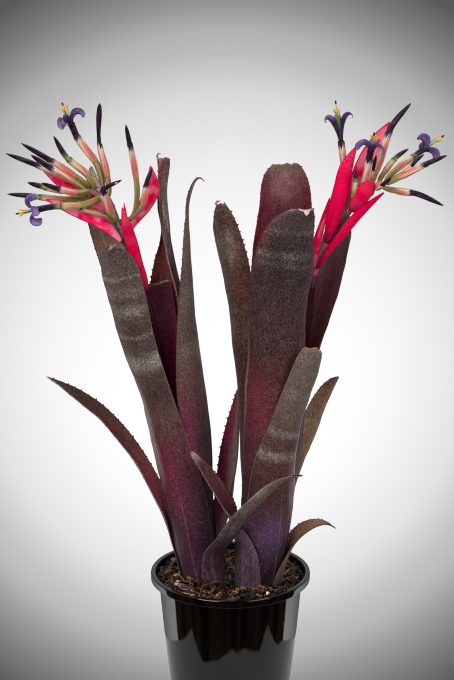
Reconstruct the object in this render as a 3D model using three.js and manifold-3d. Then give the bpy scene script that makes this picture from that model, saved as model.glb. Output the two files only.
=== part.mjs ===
// A potted billbergia: two leaning tubular rosettes of strap leaves, each with a scape of
// bracts and flowers, in a round nursery pot. Millimetres, +Z up, the origin at the centre
// of the pot's flat underside, and +X to the right of a viewer who looks along +Y.
import * as THREE from "three";
import { mergeVertices } from "three/addons/utils/BufferGeometryUtils.js";
import Module from "manifold-3d";

const wasm = await Module();
wasm.setup();

// Driving dimensions
const GAP = 0.3;
const POT = {
  height: 130,
  rimRadius: 70,
  rimInnerRadius: 65.5,
  rimBand: 8,
  bodyTopRadius: 63,
  baseRadius: 52,
  wall: 1.8,
  floor: 2.5,
  segments: 36,
  drainHoles: 8,
  drainHoleRadius: 4.5,
  drainHoleCircle: 38,
};
const MIX = {
  edge: 120.5,
  shoulder: 122.4,
  shoulderRadius: 40,
  crown: 123,
  socketFloor: 109.9,
  socketRadius: 23.5,
};
const LEAF = { thickness: 1.1, columns: 6 };
const BRACT = { thickness: 0.8, columns: 4 };
const PETAL = { thickness: 0.8, columns: 2, width: 5, curlRadius: 4.6, curlTurn: 205 };
const STEM_BASE = { bottom: MIX.socketFloor + GAP, top: 124, radius: 11.3 };
const TUFT = { sunk: 2, baseRadius: 1.4, tipRadius: 0.8 };
const SCAPE_SIDES = 8;
const FLOWER_SIDES = 6;

// The centre line of each rosette's tube of leaf sheaths, as [x, y, z]
const AXES = {
  left: [[-24, 7, 112], [-29.5, 7, 150], [-35.5, 7, 195], [-42.5, 7, 245], [-47.5, 6, 285]],
  right: [[24, -8, 112], [27, -8, 150], [31, -7, 195], [34, -6, 245], [36, -5, 285]],
};
// A sheath's radius is its shell at this height and grows by this share for each mm above
const SHELL_HEIGHT = 119;
const SHELL_FLARE = 0.0041;

// Leaves. Shell is the sheath's radius at the potting mix. A sheath row is
// [z, facing, cup]; a blade row is [x, y, z, width, cup, facing]. Facing is the compass
// angle, from +X towards +Y, that the hollow side looks to, and cup is half the angle that
// the cross-section turns through, both in degrees. Rows run from the base to the tip.
const LEAVES = {
  left_leaf_outer_front: {
    axis: "left", shell: 20.6,
    sheath: [[112, 142, 50], [134, 142, 46]],
    blade: [[-10, -17, 151, 30, 46, 136], [-3, -40, 172, 20, 40, 112], [8, -46, 193, 17, 38, 112],
      [22, -50, 211, 14, 38, 115], [37, -53, 226, 11, 38, 120], [50, -55, 234, 7, 34, 126],
      [59, -56, 236, 2, 20, 130]],
  },
  left_leaf_outer_left: {
    axis: "left", shell: 18.8,
    sheath: [[112, -26, 42], [150, -22, 36]],
    blade: [[-59, 2, 186, 22, 52, -25], [-83, -2, 235, 18, 50, -30], [-108, -6, 270, 15, 45, -30],
      [-133, -10, 293, 10, 40, -30], [-155, -14, 310, 2, 30, -30]],
  },
  left_leaf_outer_right: {
    axis: "left", shell: 18.8,
    sheath: [[112, 205, 45], [150, 208, 42]],
    blade: [[-1, 22, 185, 36, 52, 202], [5, 26, 221, 32, 58, 202], [8, 28, 249, 25, 58, 200],
      [9, 28, 272, 14, 50, 195], [7, 28, 287, 2, 30, 190]],
  },
  left_leaf_front: {
    axis: "left", shell: 17,
    sheath: [[112, 72, 72], [150, 70, 70], [195, 66, 66], [245, 58, 52]],
    blade: [[-66, -16, 285, 42, 46, 52], [-80, -18, 335, 38, 44, 62], [-89, -20, 379, 38, 42, 68],
      [-94, -20, 405, 37, 36, 70], [-95, -20, 420, 29, 30, 70], [-95, -20, 427, 12, 14, 70]],
  },
  left_leaf_back: {
    axis: "left", shell: 11.6,
    sheath: [[116, 270, 60], [150, 270, 60], [195, 272, 58], [245, 274, 52]],
    blade: [[-52, 24, 285, 36, 40, 272], [-58, 26, 330, 33, 36, 270], [-62, 27, 360, 29, 32, 270],
      [-63, 27, 375, 26, 28, 270], [-63, 27, 381, 22, 20, 270]],
  },
  left_leaf_right: {
    axis: "left", shell: 15.2,
    sheath: [[112, 165, 70], [150, 165, 70], [195, 164, 68]],
    blade: [[-17, 0, 240, 56, 64, 163], [-23, -2, 285, 56, 66, 158], [-29, 0, 329, 42, 64, 152],
      [-33, 2, 373, 28, 58, 155], [-34, 3, 416, 18, 52, 165], [-34, 4, 446, 13, 48, 180],
      [-33, 4, 463, 8, 40, 184], [-28, 4, 476, 2, 30, 184]],
  },
  left_leaf_back_left: {
    axis: "left", shell: 15.2,
    sheath: [[112, 330, 72], [150, 330, 70], [195, 330, 66], [245, 328, 56]],
    blade: [[-70, 23, 285, 38, 45, 318], [-82, 27, 335, 36, 42, 300], [-92, 29, 380, 34, 40, 292],
      [-102, 30, 412, 31, 38, 288], [-112, 31, 442, 25, 36, 286], [-117, 30, 466, 14, 32, 286],
      [-118, 29, 483, 3, 20, 286]],
  },
  left_leaf_back_right: {
    axis: "left", shell: 13.4,
    sheath: [[112, 240, 80], [150, 240, 78], [195, 238, 74], [245, 232, 66]],
    blade: [[-37, 24, 300, 46, 70, 225], [-43, 25, 350, 50, 72, 222], [-47, 26, 380, 50, 80, 222],
      [-50, 27, 405, 34, 100, 215], [-52, 28, 430, 16, 125, 208], [-53, 29, 460, 20, 140, 202],
      [-55, 30, 480, 14, 130, 200], [-58, 30, 492, 3, 60, 200]],
  },
  right_leaf_outer_left: {
    axis: "right", shell: 20.3,
    sheath: [[112, 30, 72], [150, 28, 56]],
    blade: [[3, -22, 174, 34, 60, 14], [-7, -25, 203, 23, 47, -26], [-19, -28, 226, 16, 40, -35],
      [-28, -30, 241, 9, 35, -35], [-33, -31, 249, 3, 25, -35]],
  },
  right_leaf_outer_right: {
    axis: "right", shell: 20.3,
    sheath: [[112, 170, 50], [135, 172, 42]],
    blade: [[52, -11, 153, 20, 50, 192], [58, -10, 164, 17, 48, 205], [66, -9, 171, 14, 45, 208],
      [76, -8, 176, 10, 40, 208], [85, -8, 176, 5, 35, 208], [91, -8, 172, 1.5, 25, 208]],
  },
  right_leaf_outer_front: {
    axis: "right", shell: 18.5,
    sheath: [[112, 105, 75], [150, 105, 72], [195, 102, 60], [235, 100, 42]],
    blade: [[46, -36, 270, 29, 40, 98], [55, -38, 298, 27, 38, 102], [63, -39, 322, 24, 36, 104],
      [67, -39, 336, 21, 32, 104], [68, -39, 342, 15, 24, 104]],
  },
  right_leaf_outer_back: {
    axis: "right", shell: 18.5,
    sheath: [[112, 230, 45], [150, 228, 44]],
    blade: [[50, 16, 195, 28, 58, 225], [60, 20, 225, 27, 56, 222], [70, 22, 250, 26, 52, 220],
      [80, 24, 276, 21, 45, 218], [88, 25, 291, 15, 35, 216], [94, 25, 299, 4, 25, 216]],
  },
  right_leaf_front: {
    axis: "right", shell: 16.7,
    sheath: [[112, 88, 78], [150, 88, 76], [195, 88, 72], [245, 88, 64]],
    blade: [[36, -33, 290, 56, 56, 92], [38, -35, 335, 54, 50, 92], [40, -36, 380, 56, 48, 94],
      [45, -37, 415, 55, 44, 96], [49, -37, 437, 46, 38, 97], [52, -37, 449, 37, 30, 97],
      [55, -37, 457, 22, 18, 97]],
  },
  right_leaf_left: {
    axis: "right", shell: 14.9,
    sheath: [[112, -15, 72], [150, -15, 72], [195, -15, 70]],
    blade: [[9, -1, 242, 50, 64, -10], [7, -2, 288, 46, 62, 0], [4, -3, 330, 42, 56, 18],
      [3, -3, 370, 38, 48, 38], [0, -3, 400, 36, 42, 50], [-4, -3, 425, 30, 36, 56],
      [-7, -3, 446, 20, 30, 58], [-8, -3, 457, 8, 16, 58]],
  },
  right_leaf_right: {
    axis: "right", shell: 14.9,
    sheath: [[112, 195, 72], [150, 195, 72], [195, 196, 68]],
    blade: [[59, 2, 240, 46, 60, 199], [62, 5, 283, 46, 58, 204], [70, 12, 322, 40, 50, 210],
      [80, 18, 355, 37, 46, 216], [87, 22, 388, 34, 42, 225], [92, 24, 420, 29, 38, 234],
      [95, 25, 443, 18, 32, 238], [96, 25, 456, 4, 24, 238]],
  },
  right_leaf_back: {
    axis: "right", shell: 13.1,
    sheath: [[112, 265, 85], [150, 265, 84], [195, 266, 80], [245, 267, 72]],
    blade: [[38, 22, 290, 54, 60, 268], [41, 30, 335, 56, 50, 268], [43, 35, 385, 57, 45, 268],
      [46, 37, 425, 53, 42, 268], [47, 38, 452, 48, 38, 268], [47, 38, 472, 40, 34, 268],
      [46, 38, 485, 22, 20, 268]],
  },
};

// Scapes: [x, y, z, radius] rows from the stem base to the last flower
const SCAPES = {
  left_scape: [[-24, 7, 124.5, 3.5], [-36, 8, 200, 3.2], [-52, 11, 282, 3], [-69, 14, 362, 3],
    [-83, 13, 404, 3.2], [-90, 9, 421, 3.2], [-95, 7, 436, 3.6], [-101, 6, 453, 3.8],
    [-107, 5, 465, 3], [-114, 4, 470, 2.4], [-120, 3, 468, 2]],
  right_scape: [[24, -8, 124.5, 3.5], [36, -5, 200, 3.2], [48, -2, 286, 3], [63, 0, 356, 3],
    [71, 0, 400, 3.2], [81, 0, 422, 3.4], [91, 0, 440, 3.2], [100, 0, 451, 3], [109, 0, 460, 2.6],
    [117, 0, 469, 2.4], [124, 0, 473, 2.2], [130, -1, 474, 1.8]],
};

// Bracts: rows as a leaf blade's
const BRACTS = {
  left_bract_front: {
    scape: "left_scape",
    rows: [[-74, 10, 380, 6, 50, 90], [-75, 6, 391, 7, 50, 90], [-79, 3, 404, 9, 50, 90],
      [-82, 0, 418, 10, 45, 90], [-85, -2, 430, 9, 45, 90], [-87, -4, 443, 8, 40, 90],
      [-89, -5, 454, 1.5, 20, 90]],
  },
  left_bract_lower: {
    scape: "left_scape",
    rows: [[-92, 3, 424, 7, 45, 270], [-109, -2, 442, 12, 40, 270], [-132, -6, 454, 12, 35, 270],
      [-153, -8, 461, 1.5, 20, 270]],
  },
  left_bract_upper: {
    scape: "left_scape",
    rows: [[-104, 9, 448, 6, 45, 270], [-118, 13, 457, 11, 40, 270], [-139, 16, 469, 10, 35, 270],
      [-157, 18, 481, 1.5, 20, 270]],
  },
  left_bract_right: {
    scape: "left_scape",
    rows: [[-88.3, 9.8, 426, 5, 45, 250], [-82, 11, 437, 8, 45, 250], [-71, 14, 452, 14, 45, 250],
      [-65, 16, 468, 15, 40, 250], [-67, 14, 486, 1.5, 20, 250]],
  },
  right_bract_front: {
    scape: "right_scape",
    rows: [[80, -5, 424, 5, 45, 90], [84, -7, 440, 11, 45, 90], [88, -8, 455, 14, 45, 90],
      [92, -7, 470, 15, 45, 90], [96, -3, 488, 12, 40, 90], [104, 2, 504, 1.5, 20, 90]],
  },
  right_bract_back: {
    scape: "right_scape",
    rows: [[101, 6, 450, 6, 45, 270], [106, 13, 472, 13, 40, 270], [114, 17, 492, 14, 35, 270],
      [124, 18, 510, 9, 30, 270], [133, 18, 522, 1.5, 20, 270]],
  },
  right_bract_short: {
    scape: "right_scape",
    rows: [[101, -5, 450, 6, 45, 100], [106, -9, 457, 12, 50, 100], [112, -12, 467, 13, 50, 100],
      [117, -12, 475, 5, 30, 100]],
  },
  right_bract_long: {
    scape: "right_scape",
    rows: [[73, -4, 402, 3, 40, 110], [81, -6, 415, 6, 40, 110], [92, -6, 429, 8, 40, 110],
      [109, -5, 450, 7, 35, 110], [127, -3, 466, 1.5, 20, 110]],
  },
  right_bract_left: {
    scape: "right_scape",
    rows: [[68.5, 3.3, 400, 4, 40, 90], [72, 6, 420, 7, 40, 90], [78, 8, 441, 5, 35, 90],
      [83, 7, 460, 1.2, 20, 90]],
  },
  right_bract_inner: {
    scape: "right_scape",
    rows: [[70, -4, 402, 3, 40, 90], [72.5, -3, 420, 5, 40, 90], [76.5, -2, 436, 4, 35, 90],
      [80, -1, 448, 1.2, 20, 90]],
  },
};

// Flowers: points from the stalk to the bud's tip or the open flower's throat. Girth scales
// the profile; an open flower adds curled petals, the first one rolled to this angle, and a
// tuft of stamens of this length.
const FLOWERS = {
  left_flower_1: { points: [[-119, 6, 468], [-138, 8, 477], [-162, 12, 487], [-188, 16, 496]] },
  left_flower_2: { points: [[-118, 0, 471], [-129, -4, 480], [-148, -10, 494], [-171, -16, 509]] },
  left_flower_3: { points: [[-120, -3, 468], [-131, -8, 477], [-147, -14, 488], [-163, -20, 500]] },
  left_flower_4: { points: [[-113, 1, 470], [-120, -2, 482], [-135, -6, 496], [-145, -10, 514]] },
  left_flower_5: {
    points: [[-107, 8, 468], [-111, 12, 486], [-127, 16, 508], [-133, 18, 521]],
    open: { roll: 20, stamens: 17 },
  },
  left_flower_6: { points: [[-102, 6, 462], [-103, 7, 479], [-109, 8, 506], [-108, 6, 539]] },
  left_flower_7: {
    points: [[-83, 4, 444], [-78, 2, 461], [-79, 0, 482], [-86, -6, 523]],
    girth: 0.9,
  },
  left_flower_8: { points: [[-86, 4, 441], [-74, 4, 454], [-70, 4, 472], [-65, 4, 486]], girth: 0.9 },
  left_flower_9: { points: [[-120, -1, 466], [-133, -3, 467], [-150, -4, 470], [-168, -6, 475]] },
  left_flower_10: { points: [[-119, 4, 462], [-141, 5, 459], [-167, 6, 462], [-187, 8, 463]] },
  left_flower_11: {
    points: [[-106, -1, 463], [-123, -10, 457], [-147, -18, 457], [-160, -22, 455]],
    open: { roll: 80, stamens: 15 },
  },
  left_flower_12: { points: [[-97, 2, 441], [-110, -4, 448], [-125, -8, 453]], girth: 0.7 },
  left_flower_13: { points: [[-102, 0, 458], [-103, -14, 467], [-90, -34, 480]], girth: 0.7 },
  left_flower_14: {
    points: [[-119, -6, 468], [-131, -13, 468], [-145, -18, 473], [-155, -20, 477]],
    girth: 0.9,
  },
  right_flower_1: {
    points: [[98, 3, 450], [97, 8, 466], [93, 12, 497], [90, 14, 525]],
    open: { roll: 30, stamens: 12 },
  },
  right_flower_2: {
    points: [[106, -3, 459], [111, -8, 476], [114, -12, 496], [115, -14, 507]],
    open: { roll: 30, stamens: 11 },
  },
  right_flower_3: { points: [[117, 3, 471], [124, 4, 492], [133, 6, 519], [149, 8, 539]], girth: 1.1 },
  right_flower_4: { points: [[124, 4, 475], [130, 8, 484], [138, 12, 493], [149, 16, 500]], girth: 0.85 },
  right_flower_5: {
    points: [[129, 0, 476], [141, 4, 487], [151, 6, 494], [161, 8, 501]],
    open: { roll: 90, stamens: 18 },
    girth: 0.9,
  },
  right_flower_6: { points: [[130, -4, 474], [142, -8, 481], [160, -12, 491], [177, -16, 499]], girth: 0.9 },
  right_flower_7: { points: [[127, -4, 471], [141, -10, 468], [153, -14, 467], [175, -20, 458]] },
  right_flower_8: { points: [[121, -4, 471], [121, -12, 471], [131, -26, 482]], girth: 0.7 },
  right_flower_9: { points: [[101, -4, 454], [102, -9, 466], [103, -11, 478], [103, -11, 486]], girth: 0.8 },
  right_flower_10: { points: [[115, -2, 470], [117, -6, 484], [120, -8, 498]], girth: 0.7 },
  right_flower_11: { points: [[134, -1, 477], [147, -2, 485], [153, -2, 492], [160, -2, 498]], girth: 0.7 },
};
// Share of the length and radius of an ovary, tube and bud, and of an open flower's tube
const BUD_PROFILE = [[0, 1.3], [0.1, 2.3], [0.28, 2.9], [0.5, 2.9], [0.66, 2.2], [0.84, 2.3], [1, 0.5]];
const OPEN_PROFILE = [[0, 1.3], [0.14, 2.4], [0.34, 2.9], [0.7, 3.1], [1, 2.5]];

const COLOURS = {
  pot: [0x0c0c0d, 0.25],
  potting_mix: [0x3a2416, 0.95],
  stem_base: [0x6b5a48, 0.85],
  leaf: [0x4a3a3c, 0.6],
  scape: [0x8a5260, 0.6],
  bract: [0xd0183f, 0.45],
  flower: [0xb4756a, 0.45],
};

// Vectors and interpolation

const vector = (row) => new THREE.Vector3(row[0], row[1], row[2]);
const radians = THREE.MathUtils.degToRad;
const compass = (degrees) => new THREE.Vector3(Math.cos(radians(degrees)), Math.sin(radians(degrees)), 0);

// Catmull-Rom through rows of numbers, a whole step of t for each row
function rowAt(rows, t) {
  const i = Math.min(Math.floor(t), rows.length - 2);
  const f = t - i;
  const b = rows[i];
  const c = rows[i + 1];
  const a = rows[i - 1] ?? b;
  const d = rows[i + 2] ?? c;
  return b.map((_, k) => {
    const slope = c[k] - a[k];
    const bend = 2 * a[k] - 5 * b[k] + 4 * c[k] - d[k];
    const twist = 3 * b[k] - a[k] - 3 * c[k] + d[k];
    return b[k] + 0.5 * f * (slope + f * (bend + f * twist));
  });
}

function refine(rows, steps) {
  const count = (rows.length - 1) * steps;
  return Array.from({ length: count + 1 }, (_, i) => rowAt(rows, i / steps));
}

// The point at height z on a list of [x, y, z] rows
function atHeight(rows, z) {
  const i = Math.max(0, rows.findLastIndex((row, k) => row[2] <= z && k < rows.length - 1));
  return rowAt(rows, i + (z - rows[i][2]) / (rows[i + 1][2] - rows[i][2]));
}

function tangents(points) {
  return points.map((_, i) => {
    const before = points[Math.max(i - 1, 0)];
    const after = points[Math.min(i + 1, points.length - 1)];
    return after.clone().sub(before).normalize();
  });
}

// Solids

function solid(geometry) {
  const plain = geometry.clone();
  plain.deleteAttribute("normal");
  plain.deleteAttribute("uv");
  const merged = mergeVertices(plain, 1e-4);
  return new wasm.Manifold(
    new wasm.Mesh({
      numProp: 3,
      vertProperties: merged.attributes.position.array,
      triVerts: new Uint32Array(merged.index.array),
    }),
  );
}

function geometryOf(manifold) {
  const mesh = manifold.getMesh();
  const geometry = new THREE.BufferGeometry();
  geometry.setAttribute("position", new THREE.BufferAttribute(new Float32Array(mesh.vertProperties), 3));
  geometry.setIndex(new THREE.BufferAttribute(new Uint32Array(mesh.triVerts), 1));
  geometry.computeVertexNormals();
  return geometry;
}

function largest(manifold) {
  return manifold.decompose().reduce((best, body) => (body.volume() > best.volume() ? body : best));
}

// A closed skin over rings of points, all with the same even count, with a flat cap at
// each end that spans from one half of the ring to the other
function skin(rings) {
  const count = rings[0].length;
  const position = rings.flat().flatMap((p) => [p.x, p.y, p.z]);
  const index = [];
  for (let i = 0; i + 1 < rings.length; i++) {
    for (let j = 0; j < count; j++) {
      const a = i * count + j;
      const b = i * count + ((j + 1) % count);
      index.push(a, b, b + count, a, b + count, a + count);
    }
  }
  const last = (rings.length - 1) * count;
  for (let j = 0; j + 1 < count / 2; j++) {
    const k = count - 1 - j;
    index.push(j, k, j + 1, j + 1, k, k - 1);
    index.push(last + j, last + j + 1, last + k, last + j + 1, last + k - 1, last + k);
  }
  const geometry = new THREE.BufferGeometry();
  geometry.setAttribute("position", new THREE.Float32BufferAttribute(position, 3));
  geometry.setIndex(index);
  const made = solid(geometry);
  if (made.volume() > 0) {
    return made;
  }
  geometry.setIndex(index.map((_, i) => index[i - (i % 3) + [0, 2, 1][i % 3]]));
  return solid(geometry);
}

// A strap with an arc for its cross-section. Each frame holds a point on the middle of the
// back, the unit vector across, the unit vector to the hollow side, a width and a cup.
function strap(frames, thickness, columns, grow) {
  const rings = frames.map(({ point, across, hollow, width, cup }) => {
    const half = radians(cup);
    const radius = width / (2 * half);
    const reach = half * (1 + grow / (width / 2));
    const ring = [];
    for (const side of [1, -1]) {
      for (let k = 0; k <= columns; k++) {
        const angle = side * reach * ((2 * k) / columns - 1);
        const out = radius + side * (thickness / 2 + grow);
        ring.push(
          point.clone().addScaledVector(hollow, radius - out * Math.cos(angle))
            .addScaledVector(across, out * Math.sin(angle)),
        );
      }
    }
    return ring;
  });
  return skin(rings);
}

// Frames of a leaf or bract from its [x, y, z, width, cup, facing] rows
function bladeFrames(rows, grow) {
  const points = rows.map(vector);
  const along = tangents(points);
  points[0].addScaledVector(along[0], -grow);
  points[points.length - 1].addScaledVector(along[points.length - 1], grow);
  return rows.map((row, i) => {
    const facing = compass(row[5]);
    const across = new THREE.Vector3(0, 0, 1).cross(facing);
    across.addScaledVector(along[i], -across.dot(along[i])).normalize();
    const hollow = across.clone().cross(along[i]);
    return { point: points[i], across, hollow, width: row[3], cup: row[4] };
  });
}

// A round rod through [x, y, z, radius] rows
function rod(rows, sides, grow) {
  const points = rows.map(vector);
  const along = tangents(points);
  points[0].addScaledVector(along[0], -grow);
  points[points.length - 1].addScaledVector(along[points.length - 1], grow);
  const side = new THREE.Vector3(0, 1, 0);
  const rings = rows.map((row, i) => {
    side.addScaledVector(along[i], -side.dot(along[i])).normalize();
    const other = along[i].clone().cross(side);
    return Array.from({ length: sides }, (_, k) => {
      const angle = (2 * Math.PI * k) / sides;
      return points[i].clone()
        .addScaledVector(side, (row[3] + grow) * Math.cos(angle))
        .addScaledVector(other, (row[3] + grow) * Math.sin(angle));
    });
  });
  return skin(rings);
}

function nearestOn(rows, point) {
  const fine = refine(rows, 8);
  return fine.reduce((best, row) =>
    vector(row).distanceTo(point) < vector(best).distanceTo(point) ? row : best,
  );
}

// Pieces

function pot() {
  const { height, rimRadius, rimInnerRadius, rimBand, bodyTopRadius, baseRadius, wall, floor } = POT;
  const bandBottom = height - rimBand;
  const innerTop = bodyTopRadius - wall;
  const outline = [
    [0, 0], [baseRadius - 1, 0], [baseRadius, 1], [bodyTopRadius, bandBottom], [rimRadius - 0.6, bandBottom],
    [rimRadius, bandBottom + 0.6], [rimRadius, height - 1], [rimRadius - 1, height],
    [rimInnerRadius + 0.6, height], [rimInnerRadius, height - 0.6], [rimInnerRadius, bandBottom + 1.8],
    [innerTop, bandBottom - 1.5], [baseRadius - wall, floor], [0, floor],
  ];
  const shell = new THREE.LatheGeometry(outline.map(([r, z]) => new THREE.Vector2(r, z)), POT.segments);
  shell.rotateX(Math.PI / 2);
  let made = solid(shell);
  for (let i = 0; i < POT.drainHoles; i++) {
    const angle = (2 * Math.PI * i) / POT.drainHoles;
    const hole = new THREE.CylinderGeometry(POT.drainHoleRadius, POT.drainHoleRadius, 4 * floor, 8);
    hole.rotateX(Math.PI / 2);
    hole.translate(POT.drainHoleCircle * Math.cos(angle), POT.drainHoleCircle * Math.sin(angle), floor / 2);
    made = made.subtract(solid(hole));
  }
  return made;
}

function pottingMix() {
  const bottom = POT.floor + GAP;
  const inset = POT.wall + 1.5 * GAP;
  const outline = [
    [0, bottom], [POT.baseRadius - inset, bottom], [POT.bodyTopRadius - inset, MIX.edge],
    [MIX.shoulderRadius, MIX.shoulder], [0, MIX.crown],
  ];
  const plug = new THREE.LatheGeometry(outline.map(([r, z]) => new THREE.Vector2(r, z)), POT.segments);
  plug.rotateX(Math.PI / 2);
  let made = solid(plug);
  for (const axis of Object.values(AXES)) {
    const depth = 2 * (MIX.crown - MIX.socketFloor);
    const socket = new THREE.CylinderGeometry(MIX.socketRadius, MIX.socketRadius, depth, 24);
    socket.rotateX(Math.PI / 2);
    socket.translate(axis[0][0], axis[0][1], MIX.crown);
    made = made.subtract(solid(socket));
  }
  return made;
}

function stemBase(axis) {
  const length = STEM_BASE.top - STEM_BASE.bottom;
  const plug = new THREE.CylinderGeometry(0.85 * STEM_BASE.radius, STEM_BASE.radius, length, 16);
  plug.rotateX(Math.PI / 2);
  plug.translate(axis[0][0], axis[0][1], STEM_BASE.bottom + length / 2);
  return solid(plug);
}

function leaf({ axis, shell, sheath, blade }, grow) {
  const rows = sheath.map(([z, facing, cup]) => {
    const radius = shell * (1 + SHELL_FLARE * (z - SHELL_HEIGHT));
    const centre = atHeight(AXES[axis], z);
    const inward = compass(facing);
    return [
      centre[0] - radius * inward.x, centre[1] - radius * inward.y, z,
      2 * radius * radians(cup), cup, facing,
    ];
  });
  const all = [...rows, ...blade];
  const inSheath = all.slice(0, sheath.length);
  const above = refine(all, 2).slice(2 * sheath.length);
  return strap(bladeFrames([...inSheath, ...above], grow), LEAF.thickness, LEAF.columns, grow);
}

function bract({ rows }, grow) {
  return strap(bladeFrames(refine(rows, 2), grow), BRACT.thickness, BRACT.columns, grow);
}

// A petal that curls out and back from the throat, widest at the middle of the curl
function petal(throat, along, outward, grow) {
  const { curlRadius, curlTurn, width, thickness, columns } = PETAL;
  const across = along.clone().cross(outward);
  const frames = [0, 0.25, 0.5, 0.75, 1].map((share) => {
    const turn = radians(curlTurn * share);
    const point = throat.clone()
      .addScaledVector(outward, 1 + curlRadius * (1 - Math.cos(turn)))
      .addScaledVector(along, curlRadius * Math.sin(turn) - 1);
    const hollow = outward.clone().multiplyScalar(Math.cos(turn)).addScaledVector(along, -Math.sin(turn));
    return { point, across, hollow, width: width * (0.75 + 0.25 * Math.sin(Math.PI * share)), cup: 20 };
  });
  return strap(frames, thickness, columns, grow);
}

function flower({ scape, points, open, girth = 1 }, grow) {
  const base = nearestOn(SCAPES[scape], vector(points[0])).slice(0, 3);
  const path = [base, ...points];
  const profile = open ? OPEN_PROFILE : BUD_PROFILE;
  const curve = new THREE.CatmullRomCurve3(path.map(vector));
  const rows = profile.map(([share, radius]) => {
    const at = curve.getPointAt(share);
    return [at.x, at.y, at.z, girth * radius];
  });
  let made = rod(rows, FLOWER_SIDES, grow);
  if (!open) {
    return made;
  }
  const throat = curve.getPointAt(1);
  const along = curve.getTangentAt(1);
  const side = new THREE.Vector3(0, 1, 0);
  side.addScaledVector(along, -side.dot(along)).normalize();
  for (let i = 0; i < 3; i++) {
    const outward = side.clone().applyAxisAngle(along, radians(open.roll + 120 * i));
    made = made.add(petal(throat, along, outward, grow));
  }
  const foot = throat.clone().addScaledVector(along, -TUFT.sunk);
  const end = throat.clone().addScaledVector(along, open.stamens);
  const tuft = [[...foot.toArray(), TUFT.baseRadius], [...end.toArray(), TUFT.tipRadius]];
  return made.add(rod(tuft, FLOWER_SIDES, grow));
}

// Assembly. Each piece that meets others is cut back to a thin gap from those before it.

const group = new THREE.Group();
const placed = [];

function place(name, kind, make) {
  let made = make(0);
  for (const other of placed) {
    if (made.intersect(other.grown).volume() > 0) {
      made = largest(made.subtract(other.grown));
    }
  }
  placed.push({ name, grown: make(GAP) });
  const [color, roughness] = COLOURS[kind];
  const material = new THREE.MeshStandardMaterial({ color, roughness, metalness: 0 });
  const mesh = new THREE.Mesh(geometryOf(made), material);
  mesh.name = name;
  group.add(mesh);
}

place("pot", "pot", pot);
placed.pop();
place("potting_mix", "potting_mix", pottingMix);
placed.pop();
for (const [side, axis] of Object.entries(AXES)) {
  place(`${side}_stem_base`, "stem_base", () => stemBase(axis));
}
for (const [name, rows] of Object.entries(SCAPES)) {
  place(name, "scape", (grow) => rod(rows, SCAPE_SIDES, grow));
}
for (const [name, row] of Object.entries(LEAVES)) {
  place(name, "leaf", (grow) => leaf(row, grow));
}
for (const [name, row] of Object.entries(BRACTS)) {
  place(name, "bract", (grow) => bract(row, grow));
}
for (const [name, row] of Object.entries(FLOWERS)) {
  const scape = name.startsWith("left") ? "left_scape" : "right_scape";
  place(name, "flower", (grow) => flower({ ...row, scape }, grow));
}

export default group;
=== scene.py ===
import math

import bmesh
import bpy
import numpy as np
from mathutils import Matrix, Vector


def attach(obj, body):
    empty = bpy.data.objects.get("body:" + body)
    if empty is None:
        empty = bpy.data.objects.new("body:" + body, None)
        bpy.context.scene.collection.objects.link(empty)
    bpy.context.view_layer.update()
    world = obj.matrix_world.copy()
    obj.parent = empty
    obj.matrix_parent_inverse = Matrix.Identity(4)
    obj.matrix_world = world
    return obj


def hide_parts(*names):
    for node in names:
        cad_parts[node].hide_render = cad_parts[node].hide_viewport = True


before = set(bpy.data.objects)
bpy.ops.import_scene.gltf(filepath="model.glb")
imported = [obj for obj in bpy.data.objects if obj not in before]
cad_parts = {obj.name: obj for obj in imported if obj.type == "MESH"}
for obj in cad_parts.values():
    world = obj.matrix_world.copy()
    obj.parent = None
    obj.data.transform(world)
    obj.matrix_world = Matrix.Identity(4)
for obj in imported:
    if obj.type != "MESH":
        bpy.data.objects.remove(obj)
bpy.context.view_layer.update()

# Tables are in millimetres and degrees, in the frame's own axes. A text table holds rows of
# numbers with a comma between rows; its colours are display values of 0 to 255
MM = 0.001
FULL = 2 * math.pi

POT = dict(height=130, rim=70, rim_inner=65.5, band=8, body=63, base=52, wall=1.8, floor=2.5)
TAPER = (POT["body"] - POT["base"]) / (POT["height"] - POT["band"])
DRAIN = dict(count=8, radius=4.5, circle=38)
MIX = dict(edge=120.2, crown=122.2, bottom=2.8, socket=109.9, gap=0.3)

# Leaves broader than this get more columns of points, and petals longer than this keep to the
# flower's tube and curl at their ends only
BROAD_LEAF = 30
LONG_PETAL = 24
THICK = dict(leaf=1.1, bract=0.6, shred=0.5)

# The loose pieces on the mix. Chips past the loose ones lie on the ledge under the pot's rim
CHIPS, LOOSE_CHIPS, FLAKES, FIBRES, GRAINS = 620, 500, 70, 120, 26

# Where random draws start, so that each run gives the same result
SEEDS = dict(leaf=11, thorn=40, flap=300, bract=60, spike=80, sepal=7, mix=5)

# What the lamps point at, in metres
AIM = (0, 0, 0.28)


def table(text):
    """The rows of numbers in a text table."""
    return [[float(v) for v in row.split()] for row in text.split(",")]


# The axis of each rosette, and how the sheaths' shells widen with height round it
AXES = {
    "left": table("-24 7 112, -29.5 7 150, -35.5 7 195, -42.5 7 245, -47.5 6 285"),
    "right": table("24 -8 112, 27 -8 150, 31 -7 195, 34 -6 245, 36 -5 285"),
}
SHELL_HEIGHT = 119
SHELL_FLARE = 0.0041

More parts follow.
